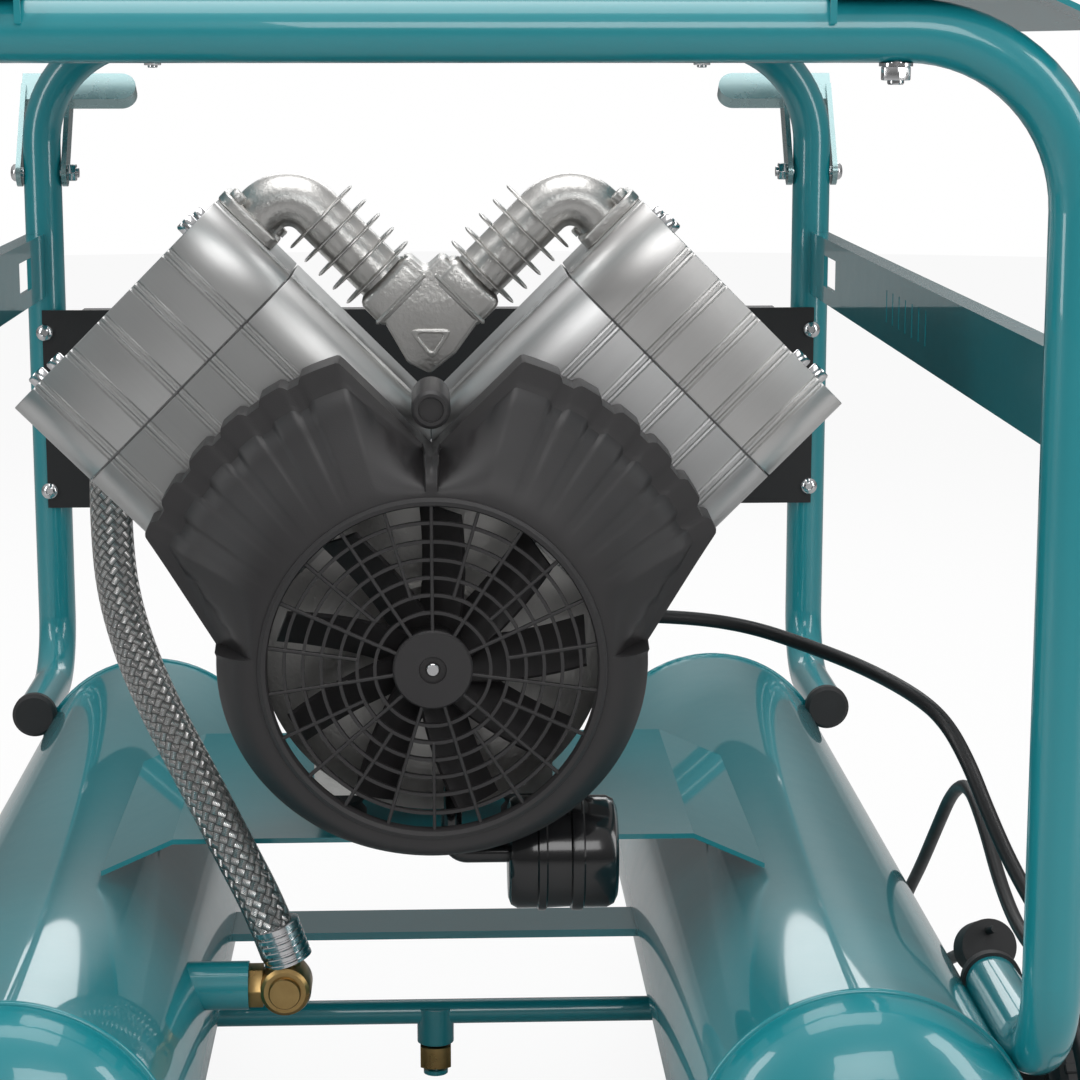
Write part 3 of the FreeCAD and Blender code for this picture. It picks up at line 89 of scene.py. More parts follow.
class Finish:
    def __init__(self, name, color, roughness=0.5, metallic=0.0, coat=0.0, coatRoughness=0.05):
        self.material = bpy.data.materials.new(name)
        self.material.use_nodes = True
        self.tree = self.material.node_tree
        self.shader = next(n for n in self.tree.nodes if n.type == "BSDF_PRINCIPLED")
        self.color = color
        self.set("Base Color", (*color, 1))
        self.set("Roughness", roughness)
        self.set("Metallic", metallic)
        self.set("Coat Weight", coat)
        self.set("Coat Roughness", coatRoughness)

    def add(self, kind, settings=None, values=None, output=0):
        node = self.tree.nodes.new(kind)
        for name, setting in (settings or {}).items():
            if name == "stops":
                self.setStops(node.color_ramp, setting)
            else:
                setattr(node, name, setting)
        for name, value in (values or {}).items():
            if isinstance(value, Wire):
                self.tree.links.new(value.socket, node.inputs[name])
            else:
                node.inputs[name].default_value = value
        return Wire(self, node.outputs[output])

    def setStops(self, ramp, stops):
        while len(ramp.elements) < len(stops):
            ramp.elements.new(0.5)
        for element, (place, value) in zip(ramp.elements, stops):
            element.position = place
            element.color = (*value, 1) if isinstance(value, tuple) else (value, value, value, 1)

    def set(self, name, value):
        if isinstance(value, Wire):
            self.tree.links.new(value.socket, self.shader.inputs[name])
        else:
            self.shader.inputs[name].default_value = value

    def place(self, turn=(0, 0, 0), scale=(1, 1, 1), source="Object"):
        spot = self.add("ShaderNodeTexCoord", output=source)
        turned = self.add("ShaderNodeMapping", {}, {"Vector": spot, "Rotation": turn})
        return self.add("ShaderNodeMapping", {}, {"Vector": turned, "Scale": scale})

    def noise(self, scale, detail=3, where=None, roughness=0.5, distortion=0.0):
        values = {"Scale": scale, "Detail": detail, "Roughness": roughness, "Distortion": distortion}
        values["Vector"] = where or self.place()
        return self.add("ShaderNodeTexNoise", {}, values)

    def ramp(self, value, *stops):
        return self.add("ShaderNodeValToRGB", {"stops": stops}, {0: value})

    def mix(self, share, first, second):
        values = {0: share, 6: first, 7: second}
        values = {k: (*v, 1) if isinstance(v, tuple) and len(v) == 3 else v for k, v in values.items()}
        return self.add("ShaderNodeMix", {"data_type": "RGBA"}, values, output=2)

    def bump(self, height, strength, distance=0.001):
        self.set("Normal", self.add("ShaderNodeBump", {}, {"Strength": strength, "Distance": distance,
                                                           "Height": height}))


def shade(color, amount):
    return tuple(min(1, part * amount) for part in color)


finishes = {}


def tealPaint():
    paint = Finish("tealPaint", (0.0085, 0.262, 0.305), 0.32, 0.0, 1.0, 0.035)
    cloud = paint.noise(5, 2)
    paint.set("Base Color", paint.mix(cloud, shade(paint.color, 0.93), shade(paint.color, 1.07)))
    dust = paint.noise(38, 5, roughness=0.7)
    paint.set("Roughness", dust * 0.12 + 0.26)
    peel = paint.noise(210, 2)
    paint.bump(peel, 0.035, 0.0006)
    return paint


def shroudPlastic():
    plastic = Finish("shroudPlastic", (0.030, 0.028, 0.029), 0.48)
    grain = plastic.noise(1500, 2)
    cloud = plastic.noise(16, 4)
    plastic.set("Base Color", plastic.mix(cloud, shade(plastic.color, 0.80), shade(plastic.color, 1.25)))
    plastic.set("Roughness", cloud * 0.16 + 0.38)
    plastic.bump(grain, 0.16, 0.0004)
    return plastic


def extrudedAluminium(name, tilt, tone):
    metal = Finish(name, tone, 0.30, 1.0)
    drawn = metal.place(turn=(0, tilt, 0), scale=(700, 160, 5.0))
    lines = metal.noise(1.0, 4, drawn, 0.6)
    smear = metal.noise(11, 4)
    soft = metal.mix(lines, shade(tone, 0.93), shade(tone, 1.05))
    metal.set("Base Color", metal.mix(smear, soft, shade(tone, 0.84)))
    metal.set("Roughness", lines * 0.08 + smear * 0.16 + 0.24)
    metal.bump(lines, 0.04, 0.0003)
    return metal


def castAluminium():
    metal = Finish("castAluminium", (0.66, 0.65, 0.63), 0.36, 1.0)
    skin = metal.noise(420, 3)
    cloud = metal.noise(22, 4)
    metal.set("Base Color", metal.mix(cloud, (0.50, 0.49, 0.475), (0.76, 0.75, 0.73)))
    metal.set("Roughness", cloud * 0.18 + skin * 0.12 + 0.20)
    metal.bump(skin, 0.35, 0.0006)
    return metal


def machinedSteel():
    metal = Finish("machinedSteel", (0.56, 0.56, 0.57), 0.25, 1.0)
    ring = metal.noise(60, 4)
    metal.set("Roughness", ring * 0.25 + 0.14)
    metal.set("Base Color", metal.mix(ring, (0.46, 0.46, 0.47), (0.64, 0.64, 0.65)))
    return metal


def zincSteel():
    metal = Finish("zincSteel", (0.70, 0.70, 0.71), 0.16, 1.0)
    cloud = metal.noise(120, 3)
    metal.set("Roughness", cloud * 0.14 + 0.10)
    metal.set("Base Color", metal.mix(cloud, (0.60, 0.60, 0.62), (0.80, 0.80, 0.80)))
    return metal


# the handles are teal paint; this pale grey-teal base colour is painted reflection of the white studio, with
# random tone variation on top
def handleWithPaintedReflection():
    metal = Finish("handleWithPaintedReflection", (0.30, 0.44, 0.45), 0.24, 0.75, 0.4)
    cloud = metal.noise(60, 3)
    metal.set("Roughness", cloud * 0.14 + 0.20)
    metal.set("Base Color", metal.mix(cloud, (0.26, 0.40, 0.41), (0.36, 0.50, 0.51)))
    return metal


def brass():
    metal = Finish("brass", (0.46, 0.30, 0.11), 0.30, 1.0)
    cloud = metal.noise(70, 4)
    metal.set("Base Color", metal.mix(cloud, (0.22, 0.13, 0.045), (0.58, 0.40, 0.17)))
    metal.set("Roughness", cloud * 0.25 + 0.18)
    return metal


def blackPaint():
    paint = Finish("blackPaint", (0.010, 0.010, 0.011), 0.40, 0.0, 0.3, 0.2)
    grain = paint.noise(700, 2)
    paint.set("Roughness", grain * 0.12 + 0.34)
    paint.bump(grain, 0.12, 0.0004)
    return paint


def rubber(name="rubber", tone=0.022):
    soft = Finish(name, (tone, tone, tone * 1.05), 0.62)
    cloud = soft.noise(40, 4)
    soft.set("Base Color", soft.mix(cloud, shade(soft.color, 0.75), shade(soft.color, 1.35)))
    soft.set("Roughness", cloud * 0.15 + 0.52)
    soft.bump(soft.noise(900, 2), 0.15, 0.0004)
    return soft


def glossPlastic(name, color, roughness=0.16):
    hard = Finish(name, color, roughness, 0.0, 0.5, 0.08)
    cloud = hard.noise(30, 4)
    hard.set("Roughness", cloud * 0.12 + roughness - 0.04)
    hard.set("Base Color", hard.mix(cloud, shade(color, 0.85), shade(color, 1.15)))
    hard.bump(hard.noise(500, 2), 0.03, 0.0004)
    return hard


def cordSheath():
    soft = Finish("cordSheath", (0.012, 0.012, 0.013), 0.42)
    cloud = soft.noise(90, 3)
    soft.set("Roughness", cloud * 0.18 + 0.32)
    soft.bump(soft.noise(1200, 2), 0.10, 0.0003)
    return soft


def braidedWire():
    wire = Finish("braidedWire", (0.62, 0.61, 0.60), 0.26, 1.0)
    spot = wire.add("ShaderNodeTexCoord", output="UV")
    parts = wire.tree.nodes.new("ShaderNodeSeparateXYZ")
    wire.tree.links.new(spot.socket, parts.inputs[0])
    around, along = Wire(wire, parts.outputs[0]), Wire(wire, parts.outputs[1])
    carriers = 12
    first = (around + along).sum("MULTIPLY", carriers).sum("FRACT")
    second = (around - along).sum("MULTIPLY", carriers).sum("FRACT")
    firstBand = 1 - (first - 0.5).sum("ABSOLUTE") * 2
    secondBand = 1 - (second - 0.5).sum("ABSOLUTE") * 2
    check = ((around + along) * (carriers / 2)).sum("FRACT") > 0.5
    otherCheck = ((around - along) * (carriers / 2)).sum("FRACT") > 0.5
    over = (check - otherCheck).sum("ABSOLUTE")
    band = over * firstBand + (1 - over) * secondBand
    strandA = ((around - along) * (carriers * 5)).sum("FRACT")
    strandB = ((around + along) * (carriers * 5)).sum("FRACT")
    strands = over * strandA + (1 - over) * strandB
    thread = 1 - (strands - 0.5).sum("ABSOLUTE") * 2
    height = (band ** 0.5) * 0.7 + thread * 0.3
    # painted shade: the steel braid is darkened towards the edges of each carrier, near-black in the gaps
    # between carriers, and darker along the lines between wires
    shadedBand = wire.ramp(band, (0.04, (0.06, 0.06, 0.06)), (0.30, (0.50, 0.49, 0.48)), (1.0, (0.86, 0.85, 0.84)))
    wire.set("Base Color", wire.mix(thread * 0.6 + 0.4, (0.16, 0.155, 0.15), shadedBand))
    wire.set("Roughness", 0.42 - band * 0.20)
    wire.bump(height, 0.9, 0.0012)
    return wire


def motorPaint():
    paint = Finish("motorPaint", (0.045, 0.046, 0.048), 0.42, 0.0, 0.25, 0.2)
    skin = paint.noise(500, 3)
    paint.set("Roughness", skin * 0.2 + 0.34)
    paint.bump(skin, 0.25, 0.0005)
    return paint


for build in (tealPaint, shroudPlastic, castAluminium, machinedSteel, zincSteel, handleWithPaintedReflection, brass,
              blackPaint,
              rubber, cordSheath, braidedWire, motorPaint):
    finishes[build.__name__] = build().material
# the two heads are one metal: the right head's lighter tone and the left head's darker tone are painted light
# and shade
for name, tilt, tone in (("rightHeadMetal", -45, (0.70, 0.69, 0.68)), ("leftHeadMetal", 45, (0.60, 0.60,
    0.595)),
                         ("rightBarrelMetal", -45, (0.52, 0.52, 0.52)), ("leftBarrelMetal", 45, (0.52, 0.52,
                             0.515))):
    finishes[name] = extrudedAluminium(name, math.radians(tilt), tone).material
finishes["tyreRubber"] = rubber("tyreRubber", 0.016).material
finishes["glossBlack"] = glossPlastic("glossBlack", (0.008, 0.008, 0.009)).material
finishes["knobBlack"] = glossPlastic("knobBlack", (0.016, 0.016, 0.018), 0.30).material
finishes["knobRed"] = glossPlastic("knobRed", (0.50, 0.018, 0.012), 0.24).material
print("finishes made:", len(finishes))

nodeFinish = {
    "tealPaint": ["tank_right", "tank_left", "tank_crossbar", "front_hoop", "rear_hoop", "side_rail_right",
                  "side_rail_left", "pump_platform", "top_rails", "ground_brackets", "tank_link_pipe"],
    "blackPaint": ["rear_panel", "rim_right", "rim_left"],
    "motorPaint": ["motor_housing", "motor_cover"],
    "zincSteel": ["bolts", "wheel_axles", "safety_ring", "gauges"],
    "handleWithPaintedReflection": ["handle_right", "handle_left"],
    "castAluminium": ["crankcase", "manifold_right", "manifold_left", "manifold_junction", "piston_right",
                      "piston_left"],
    "machinedSteel": ["crankshaft", "bearings", "stator", "rotor", "valve_plates"],
    "shroudPlastic": ["fan_shroud", "terminal_box", "fan"],
    "knobBlack": ["pressure_switch", "regulator", "regulator_knob"],
    "glossBlack": ["air_filter"],
    "knobRed": ["switch_knob", "needle_tank", "needle_outlet"],
    "rubber": ["hoop_caps", "rear_feet", "pump_mounts", "plug"],
    "tyreRubber": ["tyre_right", "tyre_left"],
    "brass": ["check_valve", "drain_tap", "outlet_couplings", "safety_valve", "hose_fittings"],
    "rightHeadMetal": ["head_right"], "leftHeadMetal": ["head_left"],
    "rightBarrelMetal": ["cylinder_right"], "leftBarrelMetal": ["cylinder_left"],
    "braidedWire": ["braided_hose"], "cordSheath": ["power_cord"],
}
for finishName, members in nodeFinish.items():
    for member in members:
        node = nodes[member]
        node.data.materials.clear()
        node.data.materials.append(finishes[finishName])


# camera, light and ground

view = {"place": (0, -1.7465, 0.741), "pitch": 10.5, "yaw": 2.35, "lens": 89.3}
lens = bpy.data.cameras.new("camera")
lens.lens = view["lens"]
lens.clip_start = 0.05
lens.clip_end = 50
camera = bpy.data.objects.new("camera", lens)
scene.collection.objects.link(camera)
camera.location = view["place"]
camera.rotation_euler = (math.radians(90 - view["pitch"]), 0, math.radians(-view["yaw"]))
scene.camera = camera


def softLight(name, place, target, size, power):
    lamp = bpy.data.lights.new(name, "AREA")
    lamp.shape = "RECTANGLE"
    lamp.size, lamp.size_y = size
    lamp.energy = power
    holder = bpy.data.objects.new(name, lamp)
    scene.collection.objects.link(holder)
    holder.location = place
    holder.rotation_euler = (Vector(target) - Vector(place)).to_track_quat("-Z", "Y").to_euler()


lights = {
    "topSoftbox": ((0, -0.3, 2.4), (0, -0.1, 0.4), (1.5, 2.0), 21),
    "leftSoftbox": ((-1.9, -1.2, 1.2), (0, -0.2, 0.4), (0.5, 1.8), 13),
    "rightSoftbox": ((1.9, -1.3, 1.1), (0, -0.2, 0.4), (0.5, 1.8), 13),
    "frontFill": ((0.4, -2.6, 1.5), (0, -0.2, 0.4), (1.2, 0.8), 11),
    "rearSoftbox": ((0.2, 2.2, 1.7), (0, 0.2, 0.4), (1.8, 1.0), 14),
}
for lampName, (spot, target, size, power) in lights.items():
    softLight(lampName, spot, target, size, power)

# the room is white to look at, and dimmer below than above in what it lights
world = bpy.data.worlds.new("studio")
scene.world = world
world.use_nodes = True
room = world.node_tree
roomOut = next(n for n in room.nodes if n.type == "OUTPUT_WORLD")
glow = next(n for n in room.nodes if n.type == "BACKGROUND")
glow.inputs["Strength"].default_value = 0.62
backdrop = room.nodes.new("ShaderNodeBackground")
backdrop.inputs["Color"].default_value = (1, 1, 1, 1)
direction = room.nodes.new("ShaderNodeTexCoord")
heights = room.nodes.new("ShaderNodeSeparateXYZ")
band = room.nodes.new("ShaderNodeValToRGB")
for element, (spot, tone) in zip([band.color_ramp.elements[0], band.color_ramp.elements[1],
                                  band.color_ramp.elements.new(0.35)], ((0.0, 0.25), (1.0, 1.0), (0.35,
                                      0.5))):
    element.position = spot
    element.color = (tone, tone, tone, 1)
rays = room.nodes.new("ShaderNodeLightPath")
blend = room.nodes.new("ShaderNodeMixShader")
for source, end in ((direction.outputs["Generated"], heights.inputs[0]), (heights.outputs[2],
    band.inputs[0]),
                    (band.outputs[0], glow.inputs["Color"]), (rays.outputs["Is Camera Ray"],
                        blend.inputs[0]),
                    (glow.outputs[0], blend.inputs[1]), (backdrop.outputs[0], blend.inputs[2]),
                    (blend.outputs[0], roomOut.inputs[0])):
    room.links.new(source, end)

bpy.ops.mesh.primitive_circle_add(vertices=96, radius=7, fill_type="NGON", location=(0, 1.0, 0))
floor = bpy.context.object
floor.name = "floor"
pale = Finish("paleFloor", (0.50, 0.50, 0.50), 0.6)
white = pale.tree.nodes.new("ShaderNodeEmission")
seen = pale.tree.nodes.new("ShaderNodeLightPath")
both = pale.tree.nodes.new("ShaderNodeMixShader")
share = Wire(pale, seen.outputs["Is Camera Ray"]) * 0.82
pale.tree.links.new(share.socket, both.inputs[0])
pale.tree.links.new(pale.shader.outputs[0], both.inputs[1])
pale.tree.links.new(white.outputs[0], both.inputs[2])
pale.tree.links.new(both.outputs[0],
    next(n for n in pale.tree.nodes if n.type == "OUTPUT_MATERIAL").inputs[0])
white.inputs["Strength"].default_value = 1.1
floor.data.materials.append(pale.material)
scene.view_settings.view_transform = "Standard"


# cord and hose, as lines first

cordRoute = [(128, 315, 224), (156, 315, 223), (192, 306, 219), (222, 276, 214), (250, 233, 210),
             (270, 178, 207), (282, 150, 199), (292, 134, 180), (301, 126, 156), (313, 118, 128),
             (326, 105, 104), (340, 84, 80), (351, 58, 50), (358, 34, 12), (359, 20, -30), (359, 18, -58),
             (359, 20, -90), (359, 44, -114), (359, 78, -114), (359, 102, -90), (359, 103, -56),
             (358, 101, -18), (355, 102, 16), (348, 116, 44), (341, 148, 60), (336, 190, 64), (335, 238, 76),
             (335, 288, 98), (335, 338, 110), (335, 386, 92), (335, 436, 52), (335, 490, 8), (335, 540, -28),
             (336, 582, -64), (338, 612, -98), (340, 614, -134), (342, 590, -158), (344, 556, -158),
             (345, 528, -136), (345, 500, -88), (345, 456, -50), (345, 410, -28), (345, 356, -6)]
hoseRoute = [(-191, 322, 349), (-192, 322, 318), (-192, 317, 282), (-188, 303, 246), (-176, 282, 212),
             (-157, 255, 179), (-134, 228, 145), (-114, 212, 110), (-97, 205, 78), (-88, 205, 52)]
cordFacts = {"radius": 0.0042, "length": 1.74}
hoseFacts = {"radius": 0.0125, "length": 0.348, "sides": 48, "step": 0.0025}


def routeCurve(name, route):
    line = bpy.data.curves.new(name, "CURVE")
    line.dimensions = "3D"
    line.resolution_u = 24
    spline = line.splines.new("NURBS")
    spline.points.add(len(route) - 1)
    for point, (x, run, rise) in zip(spline.points, route):
        point.co = (*tankPoint(x, run, rise), 1)
    spline.order_u = 3
    spline.use_endpoint_u = True
    holder = bpy.data.objects.new(name, line)
    scene.collection.objects.link(holder)
    return holder


def pointsAlong(holder):
    bpy.context.view_layer.update()
    mesh = bpy.data.meshes.new_from_object(holder)
    points = [vertex.co.copy() for vertex in mesh.vertices]
    bpy.data.meshes.remove(mesh)
    return points


def evenly(points, step):
    lengths = [0]
    for before, after in zip(points, points[1:]):
        lengths.append(lengths[-1] + (after - before).length)
    count = max(2, round(lengths[-1] / step))
    even, index = [], 0
    for number in range(count + 1):
        target = lengths[-1] * number / count
        while index < len(points) - 2 and lengths[index + 1] < target:
            index += 1
        share = (target - lengths[index]) / max(1e-9, lengths[index + 1] - lengths[index])
        even.append(points[index].lerp(points[index + 1], share))
    return even, lengths[-1]


def wovenTube(name, points, radius, sides, pitch):
    even, total = evenly(points, hoseFacts["step"])
    heading = (even[1] - even[0]).normalized()
    side = heading.orthogonal().normalized()
    vertices, faces, spots = [], [], []
    for index, centre in enumerate(even):
        ahead = (even[min(index + 1, len(even) - 1)] - even[max(index - 1, 0)]).normalized()
        side = (side - ahead * side.dot(ahead)).normalized()
        other = ahead.cross(side)
        for turn in range(sides):
            angle = 2 * math.pi * turn / sides
            vertices.append(centre + (side * math.cos(angle) + other * math.sin(angle)) * radius)
    for ring in range(len(even) - 1):
        for turn in range(sides):
            nextTurn = (turn + 1) % sides
            faces.append((ring * sides + turn, ring * sides + nextTurn,
                          (ring + 1) * sides + nextTurn, (ring + 1) * sides + turn))
            low, high = ring * total / (len(even) - 1) / pitch, (ring + 1) * total / (len(even) - 1) / pitch
            spots += [(turn / sides, low), ((turn + 1) / sides, low), ((turn + 1) / sides, high),
                (turn / sides, high)]
    faces += [tuple(reversed(range(sides))), tuple(range(len(vertices) - sides, len(vertices)))]
    spots += [(0, 0)] * (2 * sides)
    mesh = bpy.data.meshes.new(name)
    mesh.from_pydata(vertices, [], faces)
    layer = mesh.uv_layers.new(name="UVMap")
    for loop, spot in zip(layer.data, spots):
        loop.uv = spot
    for polygon in mesh.polygons:
        polygon.use_smooth = len(polygon.vertices) == 4
    holder = bpy.data.objects.new(name, mesh)
    scene.collection.objects.link(holder)
    return holder, even, total


powerCord = routeCurve("powerCord", cordRoute)
cordLine = pointsAlong(powerCord)
powerCord.data.bevel_depth = cordFacts["radius"]
powerCord.data.bevel_resolution = 6
powerCord.data.use_fill_caps = True
powerCord.data.materials.append(finishes["cordSheath"])
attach(powerCord, "frame")
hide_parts("power_cord")

hoseGuide = routeCurve("hoseGuide", hoseRoute)
hoseLine = pointsAlong(hoseGuide)
bpy.data.objects.remove(hoseGuide)
braidedHose, hosePath, hoseLength = wovenTube("braidedHose", hoseLine, hoseFacts["radius"],
    hoseFacts["sides"],
                                               2 * math.pi * hoseFacts["radius"])
braidedHose.data.materials.append(finishes["braidedWire"])
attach(braidedHose, "frame")
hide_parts("braided_hose")
print("cord and hose laid:", round(hoseLength, 3))


# modelling helpers

mergeReach = 0.000002  # metres; vertices nearer than this are one

def clearSelection():
    if bpy.context.object and bpy.context.object.mode != "OBJECT":
        bpy.ops.object.mode_set(mode="OBJECT")
    bpy.ops.object.select_all(action="DESELECT")


def activate(piece):
    clearSelection()
    piece.select_set(True)
    bpy.context.view_layer.objects.active = piece


def cleanMesh():
    bpy.ops.mesh.select_all(action="SELECT")
    bpy.ops.mesh.remove_doubles(threshold=mergeReach)
    bpy.ops.mesh.normals_make_consistent(inside=False)
    bpy.ops.object.mode_set(mode="OBJECT")


def turnedPiece(name, rings, sides=64, through=False):
    # rings are (radius, height) pairs, from the start of the turning to its end
    clearSelection()
    radius, height = rings[0]
    bpy.ops.mesh.primitive_circle_add(vertices=sides, radius=radius,
        fill_type="NOTHING" if through else "NGON",
                                      enter_editmode=True, location=(0, 0, 0))
    bpy.ops.transform.translate(value=(0, 0, height))
    for nextRadius, nextHeight in rings[1:]:
        bpy.ops.mesh.extrude_region_move(TRANSFORM_OT_translate={"value": (0, 0, nextHeight - height)})
        grow = nextRadius / radius
        bpy.ops.transform.resize(value=(grow, grow, 1), center_override=(0, 0, nextHeight))
        radius, height = nextRadius, nextHeight
    cleanMesh()
    piece = bpy.context.object
    piece.name = name
    return piece


def ringOf(inner, outer, low, high):
    return [(inner, low), (outer, low), (outer, high), (inner, high), (inner, low)]


def flatPiece(name, outlines, thick, edge=0.0004, steps=1):
    # outlines lie in XY, holes included, and the sheet is thick along Z about its middle
    sheet = bpy.data.curves.new(name, "CURVE")
    sheet.dimensions = "2D"
    sheet.fill_mode = "BOTH"
    sheet.extrude = thick / 2 - edge
    sheet.bevel_depth = edge
    sheet.offset = -edge
    sheet.bevel_resolution = steps
    for outline in outlines:
        spline = sheet.splines.new("POLY")
        spline.points.add(len(outline) - 1)
        for point, (x, y) in zip(spline.points, outline):
            point.co = (x, y, 0, 1)
        spline.use_cyclic_u = True
    piece = bpy.data.objects.new(name, sheet)
    scene.collection.objects.link(piece)
    activate(piece)
    bpy.ops.object.convert(target="MESH")
    bpy.ops.object.mode_set(mode="EDIT")
    cleanMesh()
    return bpy.context.object


def tubePiece(name, points, radius, smoothness=6):
    line = bpy.data.curves.new(name, "CURVE")
    line.dimensions = "3D"
    spline = line.splines.new("POLY")
    spline.points.add(len(points) - 1)
    for point, spot in zip(spline.points, points):
        point.co = (*spot, 1)
    line.bevel_depth = radius
    line.bevel_resolution = smoothness
    line.use_fill_caps = True
    piece = bpy.data.objects.new(name, line)
    scene.collection.objects.link(piece)
    activate(piece)
    bpy.ops.object.convert(target="MESH")
    return bpy.context.object


def arcPoints(centre, start, end, degrees, steps):
    # from centre+start turning towards centre+end, both of one length and square to each other
    centre, start, end = Vector(centre), Vector(start), Vector(end)
    angles = [math.radians(degrees) * step / steps for step in range(steps + 1)]
    return [centre + start * math.cos(a) + end * math.sin(a) for a in angles]


def roundedOutline(corners, radius, steps=6):
    # a closed outline whose corners are rounded, each by its own radius or by the same one
    outline, count = [], len(corners)
    for index, corner in enumerate(corners):
        here = Vector(corner[:2])
        bend = corner[2] if len(corner) > 2 else radius
        before = (Vector(corners[index - 1][:2]) - here)
        after = (Vector(corners[(index + 1) % count][:2]) - here)
        if bend <= 0:
            outline.append(tuple(here))
            continue
        half = before.angle(after) / 2
        run = min(bend / math.tan(half), before.length * 0.49, after.length * 0.49)
        first, last = here + before.normalized() * run, here + after.normalized() * run
        for step in range(steps + 1):
            share = step / steps
            near, far = 1 - share, share
            outline.append(tuple(first * near ** 2 + here * 2 * far * near + last * far ** 2))
    return outline


def blockPiece(name, low, high, edge=0.001, steps=2):
    clearSelection()
    low, high = Vector(low), Vector(high)
    bpy.ops.mesh.primitive_cube_add(size=1, location=(0, 0, 0))
    piece = bpy.context.object
    piece.name = name
    piece.data.transform(Matrix.Translation((low + high) / 2) @ Matrix.Diagonal((*(high - low), 1)))
    return softened(piece, edge, steps)


def softened(piece, width, steps=2, angle=35):
    activate(piece)
    worn = piece.modifiers.new("edge", "BEVEL")
    worn.width = width
    worn.segments = steps
    worn.limit_method = "ANGLE"
    worn.angle_limit = math.radians(angle)
    bpy.ops.object.modifier_apply(modifier=worn.name)
    return piece


def turnTo(along):
    return {"x": Matrix.Rotation(math.radians(90), 4, "Y"), "y": Matrix.Rotation(math.radians(-90), 4, "X"),
            "z": Matrix.Identity(4)}[along]


def put(piece, x=0.0, y=0.0, z=0.0, along="z", turn=None):
    piece.data.transform(Matrix.Translation((x, y, z)) @ (turn or turnTo(along)))
    return piece


def copied(piece, name, matrix=None):
    twin = piece.copy()
    twin.data = piece.data.copy()
    twin.name = name
    scene.collection.objects.link(twin)
    if matrix is not None:
        twin.data.transform(matrix)
        if matrix.determinant() < 0:
            twin.data.flip_normals()
    return twin


def joined(name, parts):
    activate(parts[0])
    for part in parts[1:]:
        part.select_set(True)
    if len(parts) > 1:
        bpy.ops.object.join()
    piece = bpy.context.object
    piece.name = name
    return piece


def dress(piece, finishName, body="frame", covers=(), angle=35):
    activate(piece)
    bpy.ops.object.shade_smooth_by_angle(angle=math.radians(angle))
    piece.data.materials.clear()
    piece.data.materials.append(finishes[finishName])
    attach(piece, body)
    if covers:
        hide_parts(*covers)
    return piece


mirrorX = Matrix.Scale(-1, 4, (1, 0, 0))
crankSpot = Vector((0, machine["pumpY"], machine["crankZ"]))
rightBank = Matrix.Translation(crankSpot) @ Matrix.Rotation(math.radians(45), 4, "Y")


# ribbed banks: barrel and head are cut from one drawn section

bank = {"inner": -0.090, "outer": 0.068, "depth": 0.055, "low": 0.080, "deck": 0.198, "joint": 0.0005,
        "top": 0.255, "grooves": (-0.0538, -0.0285, -0.003, 0.0223, 0.0475), "grooveWide": 0.0074,
        "grooveDeep": 0.0013, "innerRound": (0.030, 0.015), "outerRound": (0.016,
            0.011), "finePitch": 0.0030,
        "fineDeep": 0.0014, "fineCount": 5, "roundSteps": 9}


def drawnSection():
    # across the bank is X, with the gap between the banks on its negative side
    depth = bank["depth"]
    ridge = ((-0.5, 0), (-0.34, 1.0), (-0.20, 0.95), (-0.06, 0.05), (0.06, 0.05), (0.20, 1.05), (0.36, 1.0),
             (0.5, 0))
    turns = [math.pi / 2 * step / bank["roundSteps"] for step in range(bank["roundSteps"] + 1)]
    wide, deep = bank["innerRound"]
    front = [(bank["inner"] + wide * (1 - math.sin(a)),
              -depth + deep * (1 - math.cos(a))) for a in reversed(turns)]
    for across in bank["grooves"]:
        front += [(across + share * bank["grooveWide"], -depth + sunk * bank["grooveDeep"]) for share,
                  sunk in ridge]
    wide, deep = bank["outerRound"]
    front += [(bank["outer"] - wide * (1 - math.sin(a)), -depth + deep * (1 - math.cos(a))) for a in turns]
    back = [(x, -y) for x, y in reversed(front)]
    fine = []
    for number in range(bank["fineCount"]):
        y = -depth + bank["innerRound"][1] + 0.002 + number * bank["finePitch"]
        fine += [(bank["inner"], y), (bank["inner"] + bank["fineDeep"], y + 0.0006),
                 (bank["inner"] + bank["fineDeep"], y + 0.0013), (bank["inner"], y + 0.0018)]
    return front + back + list(reversed(fine))


def trimBarrel(block):
    # the two barrels meet on the middle plane, which leans at 45 degrees in a bank's own frame
    activate(block)
    bpy.ops.object.mode_set(mode="EDIT")
    bpy.ops.mesh.select_all(action="SELECT")
    bpy.ops.mesh.bisect(plane_co=(0.0004, 0, 0), plane_no=(-1, 0, -1), use_fill=True, clear_outer=True)
    bpy.ops.object.mode_set(mode="OBJECT")


section = drawnSection()
for side, place in (("right", rightBank), ("left", mirrorX @ rightBank)):
    for part, low, high in (("barrel", bank["low"], bank["deck"] - bank["joint"]),
                            ("head", bank["deck"] + bank["joint"], bank["top"])):
        block = flatPiece(side + part.capitalize(), [section], high - low, 0.0005)
        block.data.transform(Matrix.Translation((0, 0, (low + high) / 2)))
        if part == "barrel":
            trimBarrel(block)
        block.data.transform(place)
        if place.determinant() < 0:
            block.data.flip_normals()
        node = ("cylinder_" if part == "barrel" else "head_") + side
        dress(block, side + part.capitalize() + "Metal", covers=[node])
print("banks drawn")


# shroud: one moulded shell with an ear over each bank

shroud = {"mouth": 0.0905, "drum": 0.107, "drumSide": 0.009, "ear": 0.169, "inner": 0.080, "outer": 0.0615,
          "flare": 0.23, "flareFrom": 0.159, "front": -0.3515, "back": -0.2905, "wall": 0.0028,
          "notch": 0.0034, "steps": 640, "lip": 0.017, "lipRise": 0.0045}


